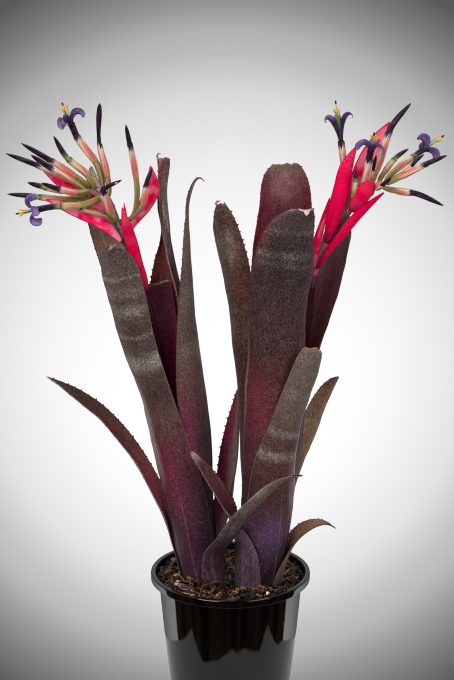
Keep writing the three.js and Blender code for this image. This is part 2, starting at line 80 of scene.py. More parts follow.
# Leaves: the rosette, the radius of the sheath's shell, sheath rows "z facing cup" and blade rows
# "x y z width cup facing", as the imported part's. back is the outer face's colour and hollow the
# inner one's, as rows "height r g b", or "share of the length r g b" where the last is below 2.
# clouds on the back and inner_clouds on the hollow side are "place half_height u half_width r g b
# strength", bands of silver scales "place half_width strength", lines on the back "u half_width
# top strength", patches "x y z and their reach r g b", and across "u brightness" over the back,
# which is painted shade and light: darker or lighter across the leaf where a curled leaf's shading falls.
# plus and minus colour the margins at u of 1 and -1. carry is how far a lopsided tip's rows move
# sideways, as "height mm". flap is a dried, curled shred at a torn tip, in blade rows. The numbers
# are the thorns' size and gap, the contrast of scales (grain), mottle and stripes, how ragged the
# tip is and its teeth, and where and how wide the margin's colour begins
LEAVES = {
    "left_leaf_outer_front": dict(
        on="left", shell=20.6, sheath="112 147 68, 123 146 62, 134 142 47",
        blade="-10 -17 151 30 46 136, -3 -40 172 20 40 112, 8 -46 193 17 38 112, 22 -50 211 14 38 115, "
              "37 -53 226 12.5 38 120, 50 -55 234 9 34 126, 59 -56 236 4 20 130",
        back="0 70 44 60, 0.25 80 50 62, 0.45 66 44 50, 0.6 78 62 62, 0.78 114 96 86, 0.92 110 88 76, "
             "1 50 34 32",
        hollow="0 60 36 50, 1 70 42 38",
        clouds="0.12 0.1 0.6 0.5 104 80 96 0.5, 0.2 0.14 -0.6 0.4 58 26 40 0.6, "
               "0.42 0.14 -0.5 0.5 66 34 42 0.5",
        across="-1 0.4, -0.8 0.55, -0.5 0.95, 0 1.1, 0.4 0.95, 1 1.4",
        plus="128 108 106", minus="34 20 20", stripes=2.6, size=0.8, mottle=1.2, grain=1.3),
    "left_leaf_outer_left": dict(
        on="left", shell=18.8, sheath="112 -26 42, 150 -22 36",
        blade="-59 2 186 22 52 -25, -83 -2 235 21 50 -30, -108 -6 270 20 45 -30, "
              "-133 -10 293 15.5 40 -30, -155 -14 310 2 30 -30",
        back="0 70 50 60, 0.4 112 84 94, 1 84 66 62",
        hollow="0 96 50 58, 0.35 150 70 78, 0.6 92 50 50, 0.85 58 36 34, 1 50 32 29",
        plus="60 26 28", minus="160 140 142", size=0.95, gap=6),
    "left_leaf_outer_right": dict(
        on="left", shell=18.8, sheath="112 205 45, 150 208 42",
        blade="-1 22 185 34 54 206, 1.5 26 210 32 56 212, 3 27 228 29 56 215, 4.4 28 243 25 56 215, "
              "5.4 28 258 19 54 214, 6 28 273 11 48 212, 6.2 28 287 2 30 210",
        back="120 60 40 56, 200 78 52 58, 287 84 62 58",
        hollow="120 74 30 50, 170 104 34 62, 205 150 44 84, 245 150 46 84, 270 128 56 74, 287 92 56 54",
        inner_clouds="215 62 0.15 0.62 122 104 100 0.95, 150 34 0 0.8 74 52 62 0.7",
        plus="84 68 66", minus="104 30 44", size=1.1, stripes=0.9),
    "left_leaf_front": dict(
        on="left", shell=17, sheath="112 72 72, 150 70 70, 195 66 66, 245 58 52",
        blade="-66 -16 285 42 46 52, -80 -18 335 38 44 62, -89 -20 379 38 42 68, "
              "-93.5 -20 399 37.5 37 70, -95 -20 410 33 33 70, -96 -20 418 24 27 70, "
              "-96 -20 425 9 14 70",
        back="120 62 34 48, 150 66 38 50, 185 74 38 52, 225 92 44 55, 252 92 50 55, 275 90 62 60, "
             "296 68 46 44, 318 82 66 61, 345 70 53 49, 372 78 61 57, 398 86 70 66, 420 74 60 57, "
             "427 66 52 48",
        hollow="120 60 30 50, 300 80 34 44, 427 84 50 46",
        clouds="222 45 0 0.45 118 28 60 0.45, 150 34 -0.3 0.5 78 28 64 0.55, "
               "268 46 0.75 0.45 158 136 132 0.72, 235 28 0.6 0.36 154 124 122 0.68, "
               "200 70 0.95 0.35 124 96 100 0.5",
        bands="396 1.6 0.5, 383 4.5 0.26, 368 5 0.36, 345 1.8 0.3, 322 7 0.66",
        lines="0.45 0.04 262 0.28, -0.1 0.035 230 0.22",
        across="-1 0.84, -0.7 0.92, -0.1 1, 0.6 1.1, 1 1.12",
        flap="-102.4 -21.2 420.2 0.9 40 260, -100.6 -22.2 421.8 1.8 50 260, "
             "-98.4 -22.8 423.6 2.2 60 262, -96.2 -22.6 425.4 1.8 60 262, -94.2 -22 427 0.6 60 265",
        plus="72 40 36", minus="122 84 72", size=0.85, stripes=0.7),
    "left_leaf_back": dict(
        on="left", shell=11.6, sheath="116 270 60, 150 270 60, 195 272 58, 245 274 52",
        blade="-52 24 285 36 40 272, -58 26 330 34 36 270, -62 27 360 31 32 270, -63 27 375 28 28 270, "
              "-63 27 382 25 20 270",
        back="120 60 40 60, 381 74 50 50",
        hollow="120 50 18 36, 290 126 28 62, 330 116 32 58, 352 122 52 72, 370 96 30 54, 382 90 30 52",
        flap="-65 22.4 382.5 1 70 268, -60 21.8 384.2 2.6 80 268, -54 22.2 385 3 80 266, "
             "-50.5 22.6 385 1.2 60 264",
        plus="96 40 44", minus="88 34 46", size=0.8, grain=1.1),
    "left_leaf_right": dict(
        on="left", shell=15.2, sheath="112 165 70, 150 165 70, 195 164 68",
        blade="-17 0 240 56 64 163, -23 -2 285 56 66 158, -29 0 329 42 64 152, -33 2 373 28 58 155, "
              "-34 3 416 19 52 165, -35 4 440 15 48 178, -35.2 4 452 11.5 40 182, -34 4 463 6.5 36 184, "
              "-31 4 473 3.4 30 184, -28 4 478 2.2 30 184, -24.5 4 479 1.4 30 184, "
              "-22.5 4 475.5 0.8 30 184",
        back="120 58 40 52, 180 50 32 38, 215 48 30 33, 245 60 30 38, 275 76 38 46, 300 84 50 52, "
             "318 86 58 57, 345 78 62 59, 400 88 72 68, 476 118 94 76",
        hollow="120 60 30 50, 476 84 62 56",
        clouds="262 42 0.84 0.24 116 36 66 0.6, 205 45 0.78 0.34 84 34 66 0.5, "
               "225 62 0.08 0.46 44 29 32 0.85, 345 52 -0.36 0.11 140 124 114 0.8",
        bands="330 8 0.15, 380 10 0.1",
        across="-1 1, -0.4 0.98, -0.2 0.84, 0.1 0.86, 0.45 1.1, 1 1.04",
        plus="96 62 52", minus="120 104 96", size=0.8),
    "left_leaf_back_left": dict(
        on="left", shell=15.2, sheath="112 330 72, 150 330 70, 195 330 66, 245 328 56",
        blade="-70 23 285 38 45 318, -82 27 335 36 42 300, -92 29 380 34 40 292, -102 30 412 31 38 288, "
              "-112 31 442 25 36 286, -117 30 466 14 32 286, -118 29 483 3 20 286",
        back="120 60 42 60, 300 84 62 58, 430 110 88 76, 455 140 124 116, 483 160 148 142",
        hollow="120 60 40 40, 380 124 98 84, 430 140 110 94, 450 150 132 122, 470 176 164 158, "
               "483 176 166 160",
        plus="104 74 60", minus="60 44 38", stripes=1.5),
    "left_leaf_back_right": dict(
        on="left", shell=13.4, sheath="112 240 80, 150 240 78, 195 238 74, 245 232 66",
        blade="-37 24 300 46 70 225, -43 25 350 50 72 222, -47 26 380 50 80 222, -50 28 403 35 100 217, "
              "-51.7 29.5 418 23 128 216, -51.9 27.8 430 19.5 162 197, -53 27.7 442 22.5 166 193, "
              "-53.8 27.6 455 22.5 166 193, -53.7 27.4 467 23.5 164 192, -52.4 27.4 476 27.5 158 190, "
              "-51.7 27.9 482 28 150 194, -51.9 28.8 487 27 142 206, -52.3 29.4 490 25 138 214",
        back="120 60 40 60, 300 50 30 29, 395 54 36 33, 415 78 62 57, 430 104 92 87, 464 116 104 99, "
             "476 104 72 74, 489 92 50 60",
        hollow="120 60 26 36, 300 96 36 44, 350 116 54 54, 400 112 58 56, 450 110 64 62, "
               "466 150 120 112, 476 206 186 176, 489 212 190 182",
        clouds="462 9 0.86 0.12 164 154 144 0.7, 449 9 0.6 0.1 164 154 144 0.7, "
               "436 9 0.44 0.08 164 154 144 0.7, 440 16 0.9 0.24 70 50 44 0.7",
        patches="-60.5 27 488 3.4 8 6.5 184 166 160",
        flap="-59.5 26.5 484 3.4 50 250, -60.8 26 489 2.6 60 250, -61.6 26 492.5 1.8 60 250, "
             "-60.4 25.4 494.6 1.2 50 250, -58.6 25 494.2 0.5 50 250",
        plus="150 110 106", minus="130 50 54", stripes=1, size=1.25, gap=5.5, rim_wide=0.02),
    "right_leaf_outer_left": dict(
        on="right", shell=20.3, sheath="112 30 72, 150 28 56",
        blade="3 -22 174 34 60 14, -7 -25 203 23 47 -26, -19 -28 226 16 40 -35, -28 -30 241 9 35 -35, "
              "-33 -31 249 3 25 -35",
        back="0 66 50 62, 0.3 84 60 76, 0.6 124 98 112, 1 150 132 130",
        hollow="0 80 34 56, 0.5 92 44 54, 0.9 92 52 54, 1 176 156 138",
        lines="-0.3 0.05 0.4 0.2, 0.3 0.04 0.5 0.2",
        across="-1 1.1, 0 1, 1 0.9",
        rim_from=0.5, plus="44 18 20", minus="124 100 108", gap=5,
        size=0.95, stripes=1.4, mottle=1.2, grain=1.4),
    "right_leaf_outer_right": dict(
        on="right", shell=20.3, sheath="112 170 50, 135 172 42",
        blade="52 -11 153 20 50 192, 58 -10 164 19 48 205, 66 -9 171 18.5 45 208, "
              "76 -8 175.5 14.5 40 208, 85 -8 176 7.5 35 208, 91 -8 172 1.5 25 208",
        back="0 70 50 66, 0.4 112 88 88, 0.8 130 100 86, 1 60 40 34",
        hollow="0 84 54 54, 0.5 124 90 78, 0.85 118 80 66, 1 44 26 22",
        plus="80 40 34", minus="60 26 24", size=1, gap=5, grain=1.3),
    "right_leaf_outer_front": dict(
        on="right", shell=18.5, sheath="112 105 75, 150 105 72, 195 102 60, 235 100 42",
        blade="46 -36 270 29 40 98, 55 -38 298 27 38 102, 63 -39 322 24 36 104, 67 -39 336 21 32 104, "
              "68 -39 342 15 24 104",
        back="120 22 13 20, 140 25 13 22, 158 50 30 45, 178 82 50 72, 200 72 42 48, 225 80 46 47, "
             "240 84 50 50, 262 84 58 54, 285 98 80 74, 330 104 88 81, 342 110 96 88",
        hollow="120 60 30 50, 342 100 76 66",
        clouds="172 22 -0.05 0.5 94 60 104 0.42, 150 16 0.2 0.5 60 30 52 0.5, "
               "210 40 -0.95 0.3 150 130 140 0.4",
        bands="266 3.5 0.6, 245 4.5 0.66, 300 3 0.16",
        lines="-0.3 0.035 230 0.2, -0.65 0.035 260 0.25",
        patches="69 -39 344 6 9 2.4 196 178 166",
        across="-1 1.1, -0.5 0.95, 0.2 1, 0.8 0.9, 1 0.85",
        plus="120 92 84", minus="186 170 172"),
    "right_leaf_outer_back": dict(
        on="right", shell=18.5, sheath="112 230 45, 150 228 44",
        blade="50 16 195 28 58 225, 60 20 225 27 56 222, 70 22 250 26 52 220, 80 24 276 21 45 218, "
              "88 25 291 15 35 216, 94 25 299 4 25 216",
        back="0 96 66 74, 0.4 132 100 106, 1 108 90 76",
        hollow="0 120 92 78, 0.4 190 154 132, 0.75 200 162 132, 0.94 136 102 80, 1 72 52 46",
        inner_clouds="0.42 0.2 0.45 0.45 150 130 130 0.6, 0.25 0.18 0 1 112 80 84 0.6",
        plus="160 132 120", minus="84 50 42", mottle=0.8, gap=5, grain=1.4, size=0.8),
    "right_leaf_front": dict(
        on="right", shell=16.7, sheath="112 88 78, 150 88 76, 195 88 72, 245 88 64",
        blade="36 -33 290 56 56 92, 38 -35 335 54 50 92, 40 -36 380 56 48 94, 45 -37 412 55 44 96, "
              "47 -37 430 49.5 40 97, 47.5 -37 444 41 35 97, 47.5 -37 452 33 30 97, "
              "47.5 -37 458 19 20 97",
        back="120 56 36 52, 180 62 34 44, 215 66 34 40, 250 80 38 45, 280 86 36 45, 305 86 40 46, "
             "335 66 34 38, 370 62 38 40, 400 54 37 38, 425 50 34 35, 445 64 48 48, 458 60 46 46",
        hollow="120 60 30 44, 300 84 32 48, 457 84 40 44",
        clouds="285 34 0.5 0.4 112 30 55 0.42, 432 40 0.95 0.32 88 48 45 0.6, "
               "300 60 1 0.12 150 128 140 0.5",
        bands="438 2.2 0.14, 419 3.5 0.23, 411 2.5 0.12",
        patches="61.5 -37 459.5 7 8 3.6 226 208 196, 62 -37 457 2.5 8 4.5 226 208 196",
        carry="430 0, 437 -0.9, 446.5 -3.3, 452.5 -6, 456.5 -9, 458 -11.5",
        plus="96 44 44", minus="116 30 50", size=1.1, ragged=0.5),
    "right_leaf_left": dict(
        on="right", shell=14.9, sheath="112 -15 72, 150 -15 72, 195 -15 70",
        blade="9 -1 242 50 64 -10, 7 -2 288 46 62 0, 4 -3 330 42 56 18, 3 -3 370 38 48 38, "
              "0 -3 400 36 42 50, -4 -3 425 30 36 56, -7 -3 446 20 30 58, -8 -3 457 8 16 58",
        back="120 60 44 60, 240 66 34 34, 300 62 32 27, 330 66 37 32, 350 74 46 40, 380 76 45 39, "
             "405 80 56 48, 425 94 76 66, 440 70 46 38, 457 86 64 54",
        hollow="120 60 30 44, 457 90 60 52",
        clouds="420 18 -0.2 0.4 112 98 86 0.6, 392 20 -0.4 0.4 92 50 38 0.5, "
               "352 14 0.3 0.5 92 70 62 0.4, 408 50 -0.85 0.35 84 36 40 0.5",
        flap="-12.5 -4 456 2.5 40 70, -11 -4.6 459 2.2 50 70, -8.5 -4.8 459.6 1.6 60 70",
        plus="70 42 36", minus="124 32 40", mottle=1.8, grain=1.15, size=1.05),
    "right_leaf_right": dict(
        on="right", shell=14.9, sheath="112 195 72, 150 195 72, 195 196 68",
        blade="59 2 240 46 60 199, 62 5 283 46 58 204, 70 12 322 40 50 210, 80 18 355 37 46 216, "
              "87 22 388 34 42 225, 92 24 420 29 38 234, 95 25 443 18 32 238, 96 25 456 4 24 238",
        back="120 60 44 60, 300 60 42 42, 456 70 56 56",
        hollow="120 56 26 32, 280 104 44 40, 330 98 48 48, 380 94 52 58, 430 96 74 80, 456 92 84 84",
        plus="64 34 34", minus="70 34 34", size=0.6, stripes=1.2, grain=0.7),
    "right_leaf_back": dict(
        on="right", shell=13.1, sheath="112 265 85, 150 265 84, 195 266 80, 245 267 72",
        blade="38 22 290 54 60 268, 41 30 335 56 50 268, 43 35 385 57 45 268, 46 37 425 53 42 268, "
              "47 38 452 48 38 268, 46.5 38 470 41 34 268, 46.4 38 479 33 28 268, 46 38 484 23 20 268",
        back="120 60 40 56, 300 68 48 50, 485 96 78 74",
        hollow="120 60 26 40, 360 74 30 40, 420 76 32 42, 440 84 36 46, 455 104 56 60, 470 112 72 72, "
               "480 112 86 80, 485 98 80 72",
        inner_clouds="466 15 -0.1 0.5 150 104 106 0.5, 420 70 -0.85 0.35 104 26 42 0.7, "
                     "420 70 0.85 0.3 96 20 38 0.7",
        plus="120 32 50", minus="116 34 48", stripes=0.8, mottle=0.6, size=0.8, grain=0.8, ragged=0.9, teeth=4),
}

# Stalks: how strong the grey scales are, the shares of the length where a node rings the stalk,
# rows "x y z radius" and rows "height r g b". The dark maroon of the lower stalk, inside the
# rosette, is partly the stalk's own colour and partly painted shade where the leaves shadow it
SCAPES = {
    "left_scape": (0.7, (0.3, 0.5, 0.72, 0.82, 0.87, 0.92, 0.96),
        "-24 7 124.5 3.5, -36 8 200 3.2, -52 11 282 3, -69 14 362 3, -83 13 404 3.2, -90 9 421 3.2, "
        "-95 7 436 3.6, -101 6 453 3.8, -107 5 465 3, -114 4 470 2.4, -120 3 468 2",
        "124 120 110 80, 300 58 16 32, 392 58 18 34, 402 104 78 82, 425 112 92 94, 440 118 100 88, "
        "455 126 104 92, 463 176 132 132, 470 206 160 154"),
    "right_scape": (0.12, (0.3, 0.5, 0.7, 0.775, 0.84, 0.89, 0.93, 0.97),
        "24 -8 124.5 3.5, 36 -5 200 3.2, 48 -2 286 3, 63 0 356 3, 71 0 400 3.2, 81 0 420 3.4, "
        "91 0 438 2.5, 100 0 451 2.3, 109 0 460 2.6, 117 0 469 2.4, 124 0 473 2.2, 130 -1 474 1.8",
        "124 120 110 80, 300 50 14 22, 382 50 10 24, 395 84 8 46, 398 190 66 112, 402 150 50 84, "
        "405 140 80 78, 419 140 80 80, 421.5 214 50 104, 424 96 6 42, 446 96 8 42, 456 196 116 108, "
        "474 210 134 122"),
}

# Bracts: how pale and how frosted at the tip, and rows "x y z width cup facing"
BRACTS = {
    "left_bract_front": (0.08, 0.4,
        "-72 10 380 6 50 90, -74 6 391 8 50 90, -78.5 3 404 10.5 50 90, -82 0 418 11.5 45 90, "
        "-85 -2 430 10.8 45 90, -87.5 -4 441 7.5 40 90, -90 -5 454 1.2 20 90"),
    "left_bract_lower": (1, 0.1,
        "-92 3 424 3.5 45 270, -98 1 432 8 45 270, -109 -2 442 12 40 270, -132 -6 454 12 35 270, "
        "-153 -8 461 1.5 20 270"),
    "left_bract_upper": (0.8, 0.1,
        "-104 9 448 6 45 270, -118 13 457 11 40 270, -139 16 469 10 35 270, -157 18 481 1.5 20 270"),
    "left_bract_right": (0.9, 0.1,
        "-88.3 9.8 426 5 45 250, -82 11 437 8 45 250, -71 14 452 14 45 250, -65 16 468 15 40 250, "
        "-67 14 486 1.5 20 250"),
    "right_bract_front": (0, 0.5,
        "80 -5 424 5 45 90, 84 -7 440 11 45 90, 88 -8 455 14 45 90, 92 -7 470 15 45 90, "
        "96 -3 488 12 40 90, 104 2 504 1.5 20 90"),
    "right_bract_back": (0.7, 0.1,
        "101 6 450 6 45 270, 106 13 472 13 40 270, 114 17 492 14 35 270, 124 18 510 9 30 270, "
        "133 18 522 1.5 20 270"),
    "right_bract_short": (0.06, 0.2,
        "101 -5 450 7 45 100, 105 -9 456 15 50 100, 110.5 -12 466 18 50 100, 114.5 -12 472 14 40 100, "
        "117.5 -12 476 5 30 100"),
    "right_bract_long": (0, 0,
        "73 -4 402 3 40 110, 81 -6 415 6 40 110, 92 -6 429 9 40 110, 109 -5 450 9 35 110, "
        "127 -3 466 1.5 20 110"),
    "right_bract_left": (0, 0.1,
        "68.5 3.3 400 4 40 90, 72 6 420 7 40 90, 78 8 441 5 35 90, 83 7 460 1.2 20 90"),
    "right_bract_inner": (0.35, 0.1,
        "70 -4 402 3 40 90, 72.5 -3 420 5 40 90, 76.5 -2 436 4 35 90, 80 -1 448 1.2 20 90"),
}
# A small withered bract behind left_bract_front
SPIKE = "-87 1 440 2.8 40 90, -88 1 449 2.2 40 90, -89 1 457 0.6 30 90"

# Flowers in order: points "x y z" from the stalk to the tip or throat, girth, and where ovary and
# sepals end, as shares of the length. green tints the tube; opened gives the petals' rolls, the
# stamens' length, and the petals' length, curl and twist
FLOWERS = {
    "left": [
        ("-119 6 468, -138 8 477, -162 12 487, -188 16 496", 1, 0.22, 0.62, {}),
        ("-118 0 471, -129 -4 480, -148 -10 494, -171 -16 509", 1, 0.22, 0.6, {}),
        ("-120 -3 468, -131 -8 477, -147 -14 488, -163 -20 500", 1, 0.25, 0.68, {}),
        ("-113 1 470, -120 -2 482, -135 -6 496, -145 -10 514", 1, 0.22, 0.62, dict(green=0.55)),
        ("-107 8 468, -111 12 486, -127 16 508, -133 18 521",
         1.1, 0.38, 0.81, dict(opened=((150, 262, 40), 17, 22, 230, 1.1))),
        ("-102 6 462, -103 7 479, -109 8 506, -108 6 539", 1, 0.22, 0.58, dict(club=True)),
        ("-83 4 444, -78 2 461, -79 0 482, -86 -6 523", 0.9, 0.44, 0.79, {}),
        ("-86 4 441, -74 4 454, -70 4 472, -65 4 486", 0.9, 0.37, 0.68, {}),
        ("-120 -1 466, -133 -3 467, -150 -4 470, -168 -6 475", 1, 0.33, 0.72, dict(green=0.7)),
        ("-119 4 462, -141 5 459, -167 6 462, -187 8 463", 1, 0.3, 0.62, dict(green=0.8)),
        ("-106 -1 463, -123 -10 457, -147 -18 457, -160 -22 455",
         1, 0.38, 0.67, dict(green=0.7, opened=((95, 190, 275), 15, 19, 250, 0.9))),
        ("-97 2 441, -110 -4 448, -125 -8 453", 0.7, 0.4, 0.985, dict(green=0.35, reach=0.28)),
        ("-97 3 442, -100 -4 450, -102.5 -8 458, -105 -12 466, -104 -15 471, -89 -20 479.5",
         1.25, 0.2, 0.66, dict(slender=0.62)),
        ("-119 -6 468, -131 -13 468, -145 -18 473, -155 -20 477", 0.9, 0.25, 0.65, {}),
    ],
    "right": [
        ("98 3 450, 97 8 466, 94 12 493, 92 14 507",
         1, 0.42, 0.985, dict(opened=((118, 238, 0), 33, 34, 208, 0.9))),
        ("106 -3 459, 111 -8 476, 114 -12 496, 115 -14 503",
         1.1, 0.25, 0.86, dict(opened=((110, 235, 345), 14, 20, 205, 1.35))),
        ("117 3 471, 124 4 492, 133 6 519, 149 8 539", 1.1, 0.14, 0.63, {}),
        ("124 4 475, 130 8 484, 138 12 493, 149 16 500", 0.85, 0.2, 0.6, dict(green=0.45)),
        ("129 0 476, 141 4 487, 151 6 494, 160 8 500",
         0.95, 0.3, 0.8, dict(green=0.35, opened=((115, 245, 0), 20, 20, 215, 1.2))),
        ("130 -4 474, 142 -8 481, 160 -12 491, 177 -16 499", 0.9, 0.2, 0.67, {}),
        ("127 -4 471, 141 -10 468, 153 -14 467, 175 -20 458", 1, 0.22, 0.48, {}),
        ("121 -4 471, 121 -12 471, 131 -26 482", 0.7, 0.3, 0.6, {}),
        ("101 -4 454, 102 -9 466, 103 -11 478, 103 -11 486", 0.8, 0.45, 0.76, dict(green=0.5)),
        ("115 -2 470, 117 -6 484, 120 -8 498", 0.7, 0.3, 0.6, {}),
        ("134 -1 477, 147 -2 485, 153 -2 492, 160 -2 498", 0.7, 0.3, 0.6, {}),
    ],
}

# Larger husks that lie on the mix: x, y, heading, length, breadth, tone and how far one end rises
HUSKS = ("-36 -37 160 20 6 0.5 1, -24 -48 152 22 4.5 0.5 0.5, 2 -50 25 13 6 0.75 0.6, "
         "15 -42 12 16 6.5 0.52 5, 28 -52 170 15 5 0.42 0.6, 12 -57 5 14 3.5 0.66 0.4, "
         "-8 -56 170 14 3.5 0.45 0.4, 44 -37 50 18 5.5 0.46 2.5, 55 -14 78 24 5.5 0.5 5, "
         "57 5 100 18 5 0.55 4, 50 26 120 18 5 0.55 3, 50 -24 110 14 6 0.4 1.5, "
         "-56 -10 80 18 5 0.5 2.5, -54 16 60 18 5 0.6 3.5, -44 36 40 18 5.5 0.52 2, "
         "-50 -26 130 14 5 0.4 1, 0 40 0 18 5.5 0.5 2.5, 24 46 150 15 4.5 0.55 3, -20 46 20 16 5 0.45 2")

# The edge of the glowing card that paints a lit table's reflection in the pot's wall: degrees from the front,
# and radius
TABLE_EDGE = ("-180 172, -150 172, -116 171, -96 173, -83 177, -80 178, -61 203, -59 197, -53 176, "
              "-42 151, -31 152, -24 155, -18 155, -9 165, 3 173, 9 168, 20 175, 28 171, 34 168, "
              "44 167, 50 187, 58 211, 65 190, 77 170, 85 173, 89 177, 113 173, 150 172")


# ---------------------------------------------------------------- materials

def srgb(*display):
    """A linear colour from display values of 0 to 255."""
    return tuple(v / 12.92 if v <= 0.04045 else ((v + 0.055) / 1.055) ** 2.4
                 for v in (d / 255 for d in display)) + (1.0,)


class Value:
    """A node's output. Arithmetic on it adds Math nodes."""

    def __init__(self, nodes, socket):
        self.nodes, self.socket = nodes, socket

    def __add__(self, other):
        return self.nodes.math("ADD", self, other)

    def __mul__(self, other):
        return self.nodes.math("MULTIPLY", self, other)

    def __sub__(self, other):
        return self.nodes.math("SUBTRACT", self, other)

    def __truediv__(self, other):
        return self.nodes.math("DIVIDE", self, other)

    def __abs__(self):
        return self.nodes.math("ABSOLUTE", self)

    def span(self, low, high, to_low=0.0, to_high=1.0, smooth=True):
        """This value carried from one range to another, and kept inside it."""
        return self.nodes.node("MapRange", dict(enumerate((self, low, high, to_low, to_high))), clamp=True,
                               interpolation_type="SMOOTHSTEP" if smooth else "LINEAR")


class Nodes:
    """Short calls that add nodes to a tree."""

    def __init__(self, tree):
        self.tree = tree

    def put(self, socket, value):
        if isinstance(value, Value):
            self.tree.links.new(value.socket, socket)
        else:
            socket.default_value = value

    def node(self, kind, inputs, out=0, **props):
        """A new node with its properties and inputs set; gives one of its outputs."""
        node = self.tree.nodes.new("ShaderNode" + kind)
        for key, value in props.items():
            setattr(node, key, value)
        for key, value in inputs.items():
            self.put(node.inputs[key], value)
        return Value(self, node.outputs[out])

    def math(self, operation, *values):
        return self.node("Math", dict(enumerate(values)), operation=operation)

    def mix(self, cover, a, b, blend="MIX"):
        return self.node("Mix", {0: cover, 6: a, 7: b}, 2, data_type="RGBA", blend_type=blend)

    def over(self, colour, *layers):
        """The colour under layers of (cover, r, g, b)."""
        for cover, *tint in layers:
            colour = self.mix(cover, colour, srgb(*tint))
        return colour

    def attr(self, name, out="Fac"):
        return self.node("Attribute", {}, out, attribute_name=name)

    def place(self):
        return self.node("TexCoord", {}, "Object")

    def scaled(self, vector, scale):
        return self.node("Mapping", {"Vector": vector, "Scale": scale})

    def noise(self, vector, scale, detail=2.0, rough=0.5):
        settings = {"Vector": vector, "Scale": scale, "Detail": detail, "Roughness": rough}
        return self.node("TexNoise", settings, "Fac")

    def ramp(self, value, stops):
        """A colour ramp over rows of a place and a colour, or of a place and a level."""
        made = self.node("ValToRGB", {0: value})
        elements = made.socket.node.color_ramp.elements
        stops = table(stops) if isinstance(stops, str) else stops
        for i, (at, *shade) in enumerate(sorted(stops, key=lambda row: row[0])):
            at = min(max(at, 0), 1)
            element = elements[i] if i < 2 else elements.new(at)
            element.position = at
            element.color = srgb(*shade) if len(shade) == 3 else shade * 3 + [1]
        return made

    def split(self, vector):
        parts = self.node("SeparateXYZ", {0: vector}).socket.node
        return [Value(self, out) for out in parts.outputs]

    def join(self, *parts):
        return self.node("CombineXYZ", dict(enumerate(parts)))


class Look(Nodes):
    """A new material."""

    def __init__(self, name):
        self.mat = bpy.data.materials.new(name)
        self.mat.use_nodes = True
        super().__init__(self.mat.node_tree)
        self.shader = self.tree.nodes["Principled BSDF"].inputs

    def bump(self, height, strength, distance):
        self.put(self.shader["Normal"], self.node(
            "Bump", {"Strength": strength, "Distance": distance, "Height": height}))

    def done(self, colour, rough, specular):
        self.put(self.shader["Base Color"], colour)
        self.put(self.shader["Roughness"], rough)
        self.shader["Specular IOR Level"].default_value = specular
        return self.mat

    def surface(self, shader):
        self.put(self.tree.nodes["Material Output"].inputs["Surface"], shader)
        return self.mat


def plain_material(name, low, high, scale=400, rough=(0.4, 0.6)):
    n = Look(name)
    where = n.noise(n.place(), scale, 3)
    n.bump(where, 0.3, 0.0003)
    return n.done(n.ramp(where, [[0.35, *low], [0.65, *high]]), where.span(0.2, 0.8, *rough), 0.4)


# ---------------------------------------------------------------- meshes

class Mesh:
    """Vertices, faces with their material slots, and numbers for each vertex, put together part
    by part."""

    def __init__(self):
        self.co, self.faces, self.slots, self.values, self.count = [], [], [], {}, 0

    def add(self, co, faces, slot=0, **values):
        co = np.asarray(co, float).reshape(-1, 3)
        for key in sorted(set(self.values) | set(values)):
            shape = (3,) if key == "strip" else ()
            have = self.values.setdefault(key, [np.zeros((self.count,) + shape)])
            have.append(np.broadcast_to(np.asarray(values.get(key, 0), float), (len(co),) + shape))
        self.co.append(co)
        self.faces += [tuple(int(i) + self.count for i in f) for f in faces]
        self.slots += [slot] * len(faces)
        self.count += len(co)

    def object(self, name, materials, smooth=True):
        mesh = bpy.data.meshes.new(name)
        mesh.from_pydata(np.concatenate(self.co) * MM, [], self.faces)
        for material in materials:
            mesh.materials.append(material)
        mesh.polygons.foreach_set("material_index", np.array(self.slots, np.int32))
        mesh.polygons.foreach_set("use_smooth", np.full(len(self.faces), smooth))
        for key, parts in self.values.items():
            data = np.concatenate(parts).astype(np.float32)
            kind, field = ("FLOAT_VECTOR", "vector") if data.ndim == 2 else ("FLOAT", "value")
            mesh.attributes.new(key, kind, "POINT").data.foreach_set(field, data.ravel())
        mesh.update()
        made = bpy.data.objects.new(name, mesh)
        bpy.context.scene.collection.objects.link(made)
        return made

    def piece(self, name, materials, slot, *nodes, smooth=True):
        return finish_piece(self.object(name, materials, smooth), slot, *nodes)


def finish_piece(made, slot, *nodes):
    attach(made, "root")
    if nodes:
        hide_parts(*nodes)


def skin_faces(rows, n, thin=False):
    """The faces over rows of n points that run round a form, and those that close both its ends.
    In a thin form each row holds a back and then a front that runs the other way."""
    faces = [(i * n + j, i * n + (j + 1) % n, (i + 1) * n + (j + 1) % n, (i + 1) * n + j)
             for i in range(rows - 1) for j in range(n)]
    last = (rows - 1) * n
    if not thin:
        return faces + [tuple(range(n))[::-1], tuple(range(last, last + n))]
    for base, turn in ((0, 1), (last, -1)):
        faces += [(base + j, base + n - 1 - j, base + n - 2 - j, base + j + 1)[::turn]
                  for j in range(n // 2 - 1)]
    return faces


def wave(x, seed, octaves=3):
    """A smooth random curve of about -1 to 1, one swing for each unit of x."""
    rng = np.random.default_rng(seed)
    total = np.zeros_like(np.asarray(x, float))
    for f in 2.0 ** np.arange(octaves):
        a, b = rng.uniform(0, FULL, 2)
        total = total + (np.sin(x * f * 3.1 + a) + np.sin(x * f * 1.9 + b)) / (2 * f)
    return total


def unit(v):
    return v / np.maximum(np.linalg.norm(v, axis=-1, keepdims=True), 1e-9)


def catmull(rows, t):
    """Catmull-Rom through the rows, a whole step of t for each row."""
    rows, t = np.asarray(rows, float), np.asarray(t, float)
    i = np.minimum(np.floor(t).astype(int), len(rows) - 2)
    f = (t - i)[:, None]
    a, b, c, d = (rows[np.clip(i + k, 0, len(rows) - 1)] for k in (-1, 0, 1, 2))
    return b + 0.5 * f * (c - a + f * (2 * a - 5 * b + 4 * c - d + f * (3 * b - a - 3 * c + d)))


def dense(rows, fine):
    """Catmull-Rom through the rows, with fine steps between each two."""
    spans = len(rows) - 1
    return catmull(rows, np.linspace(0, spans, fine * spans + 1))


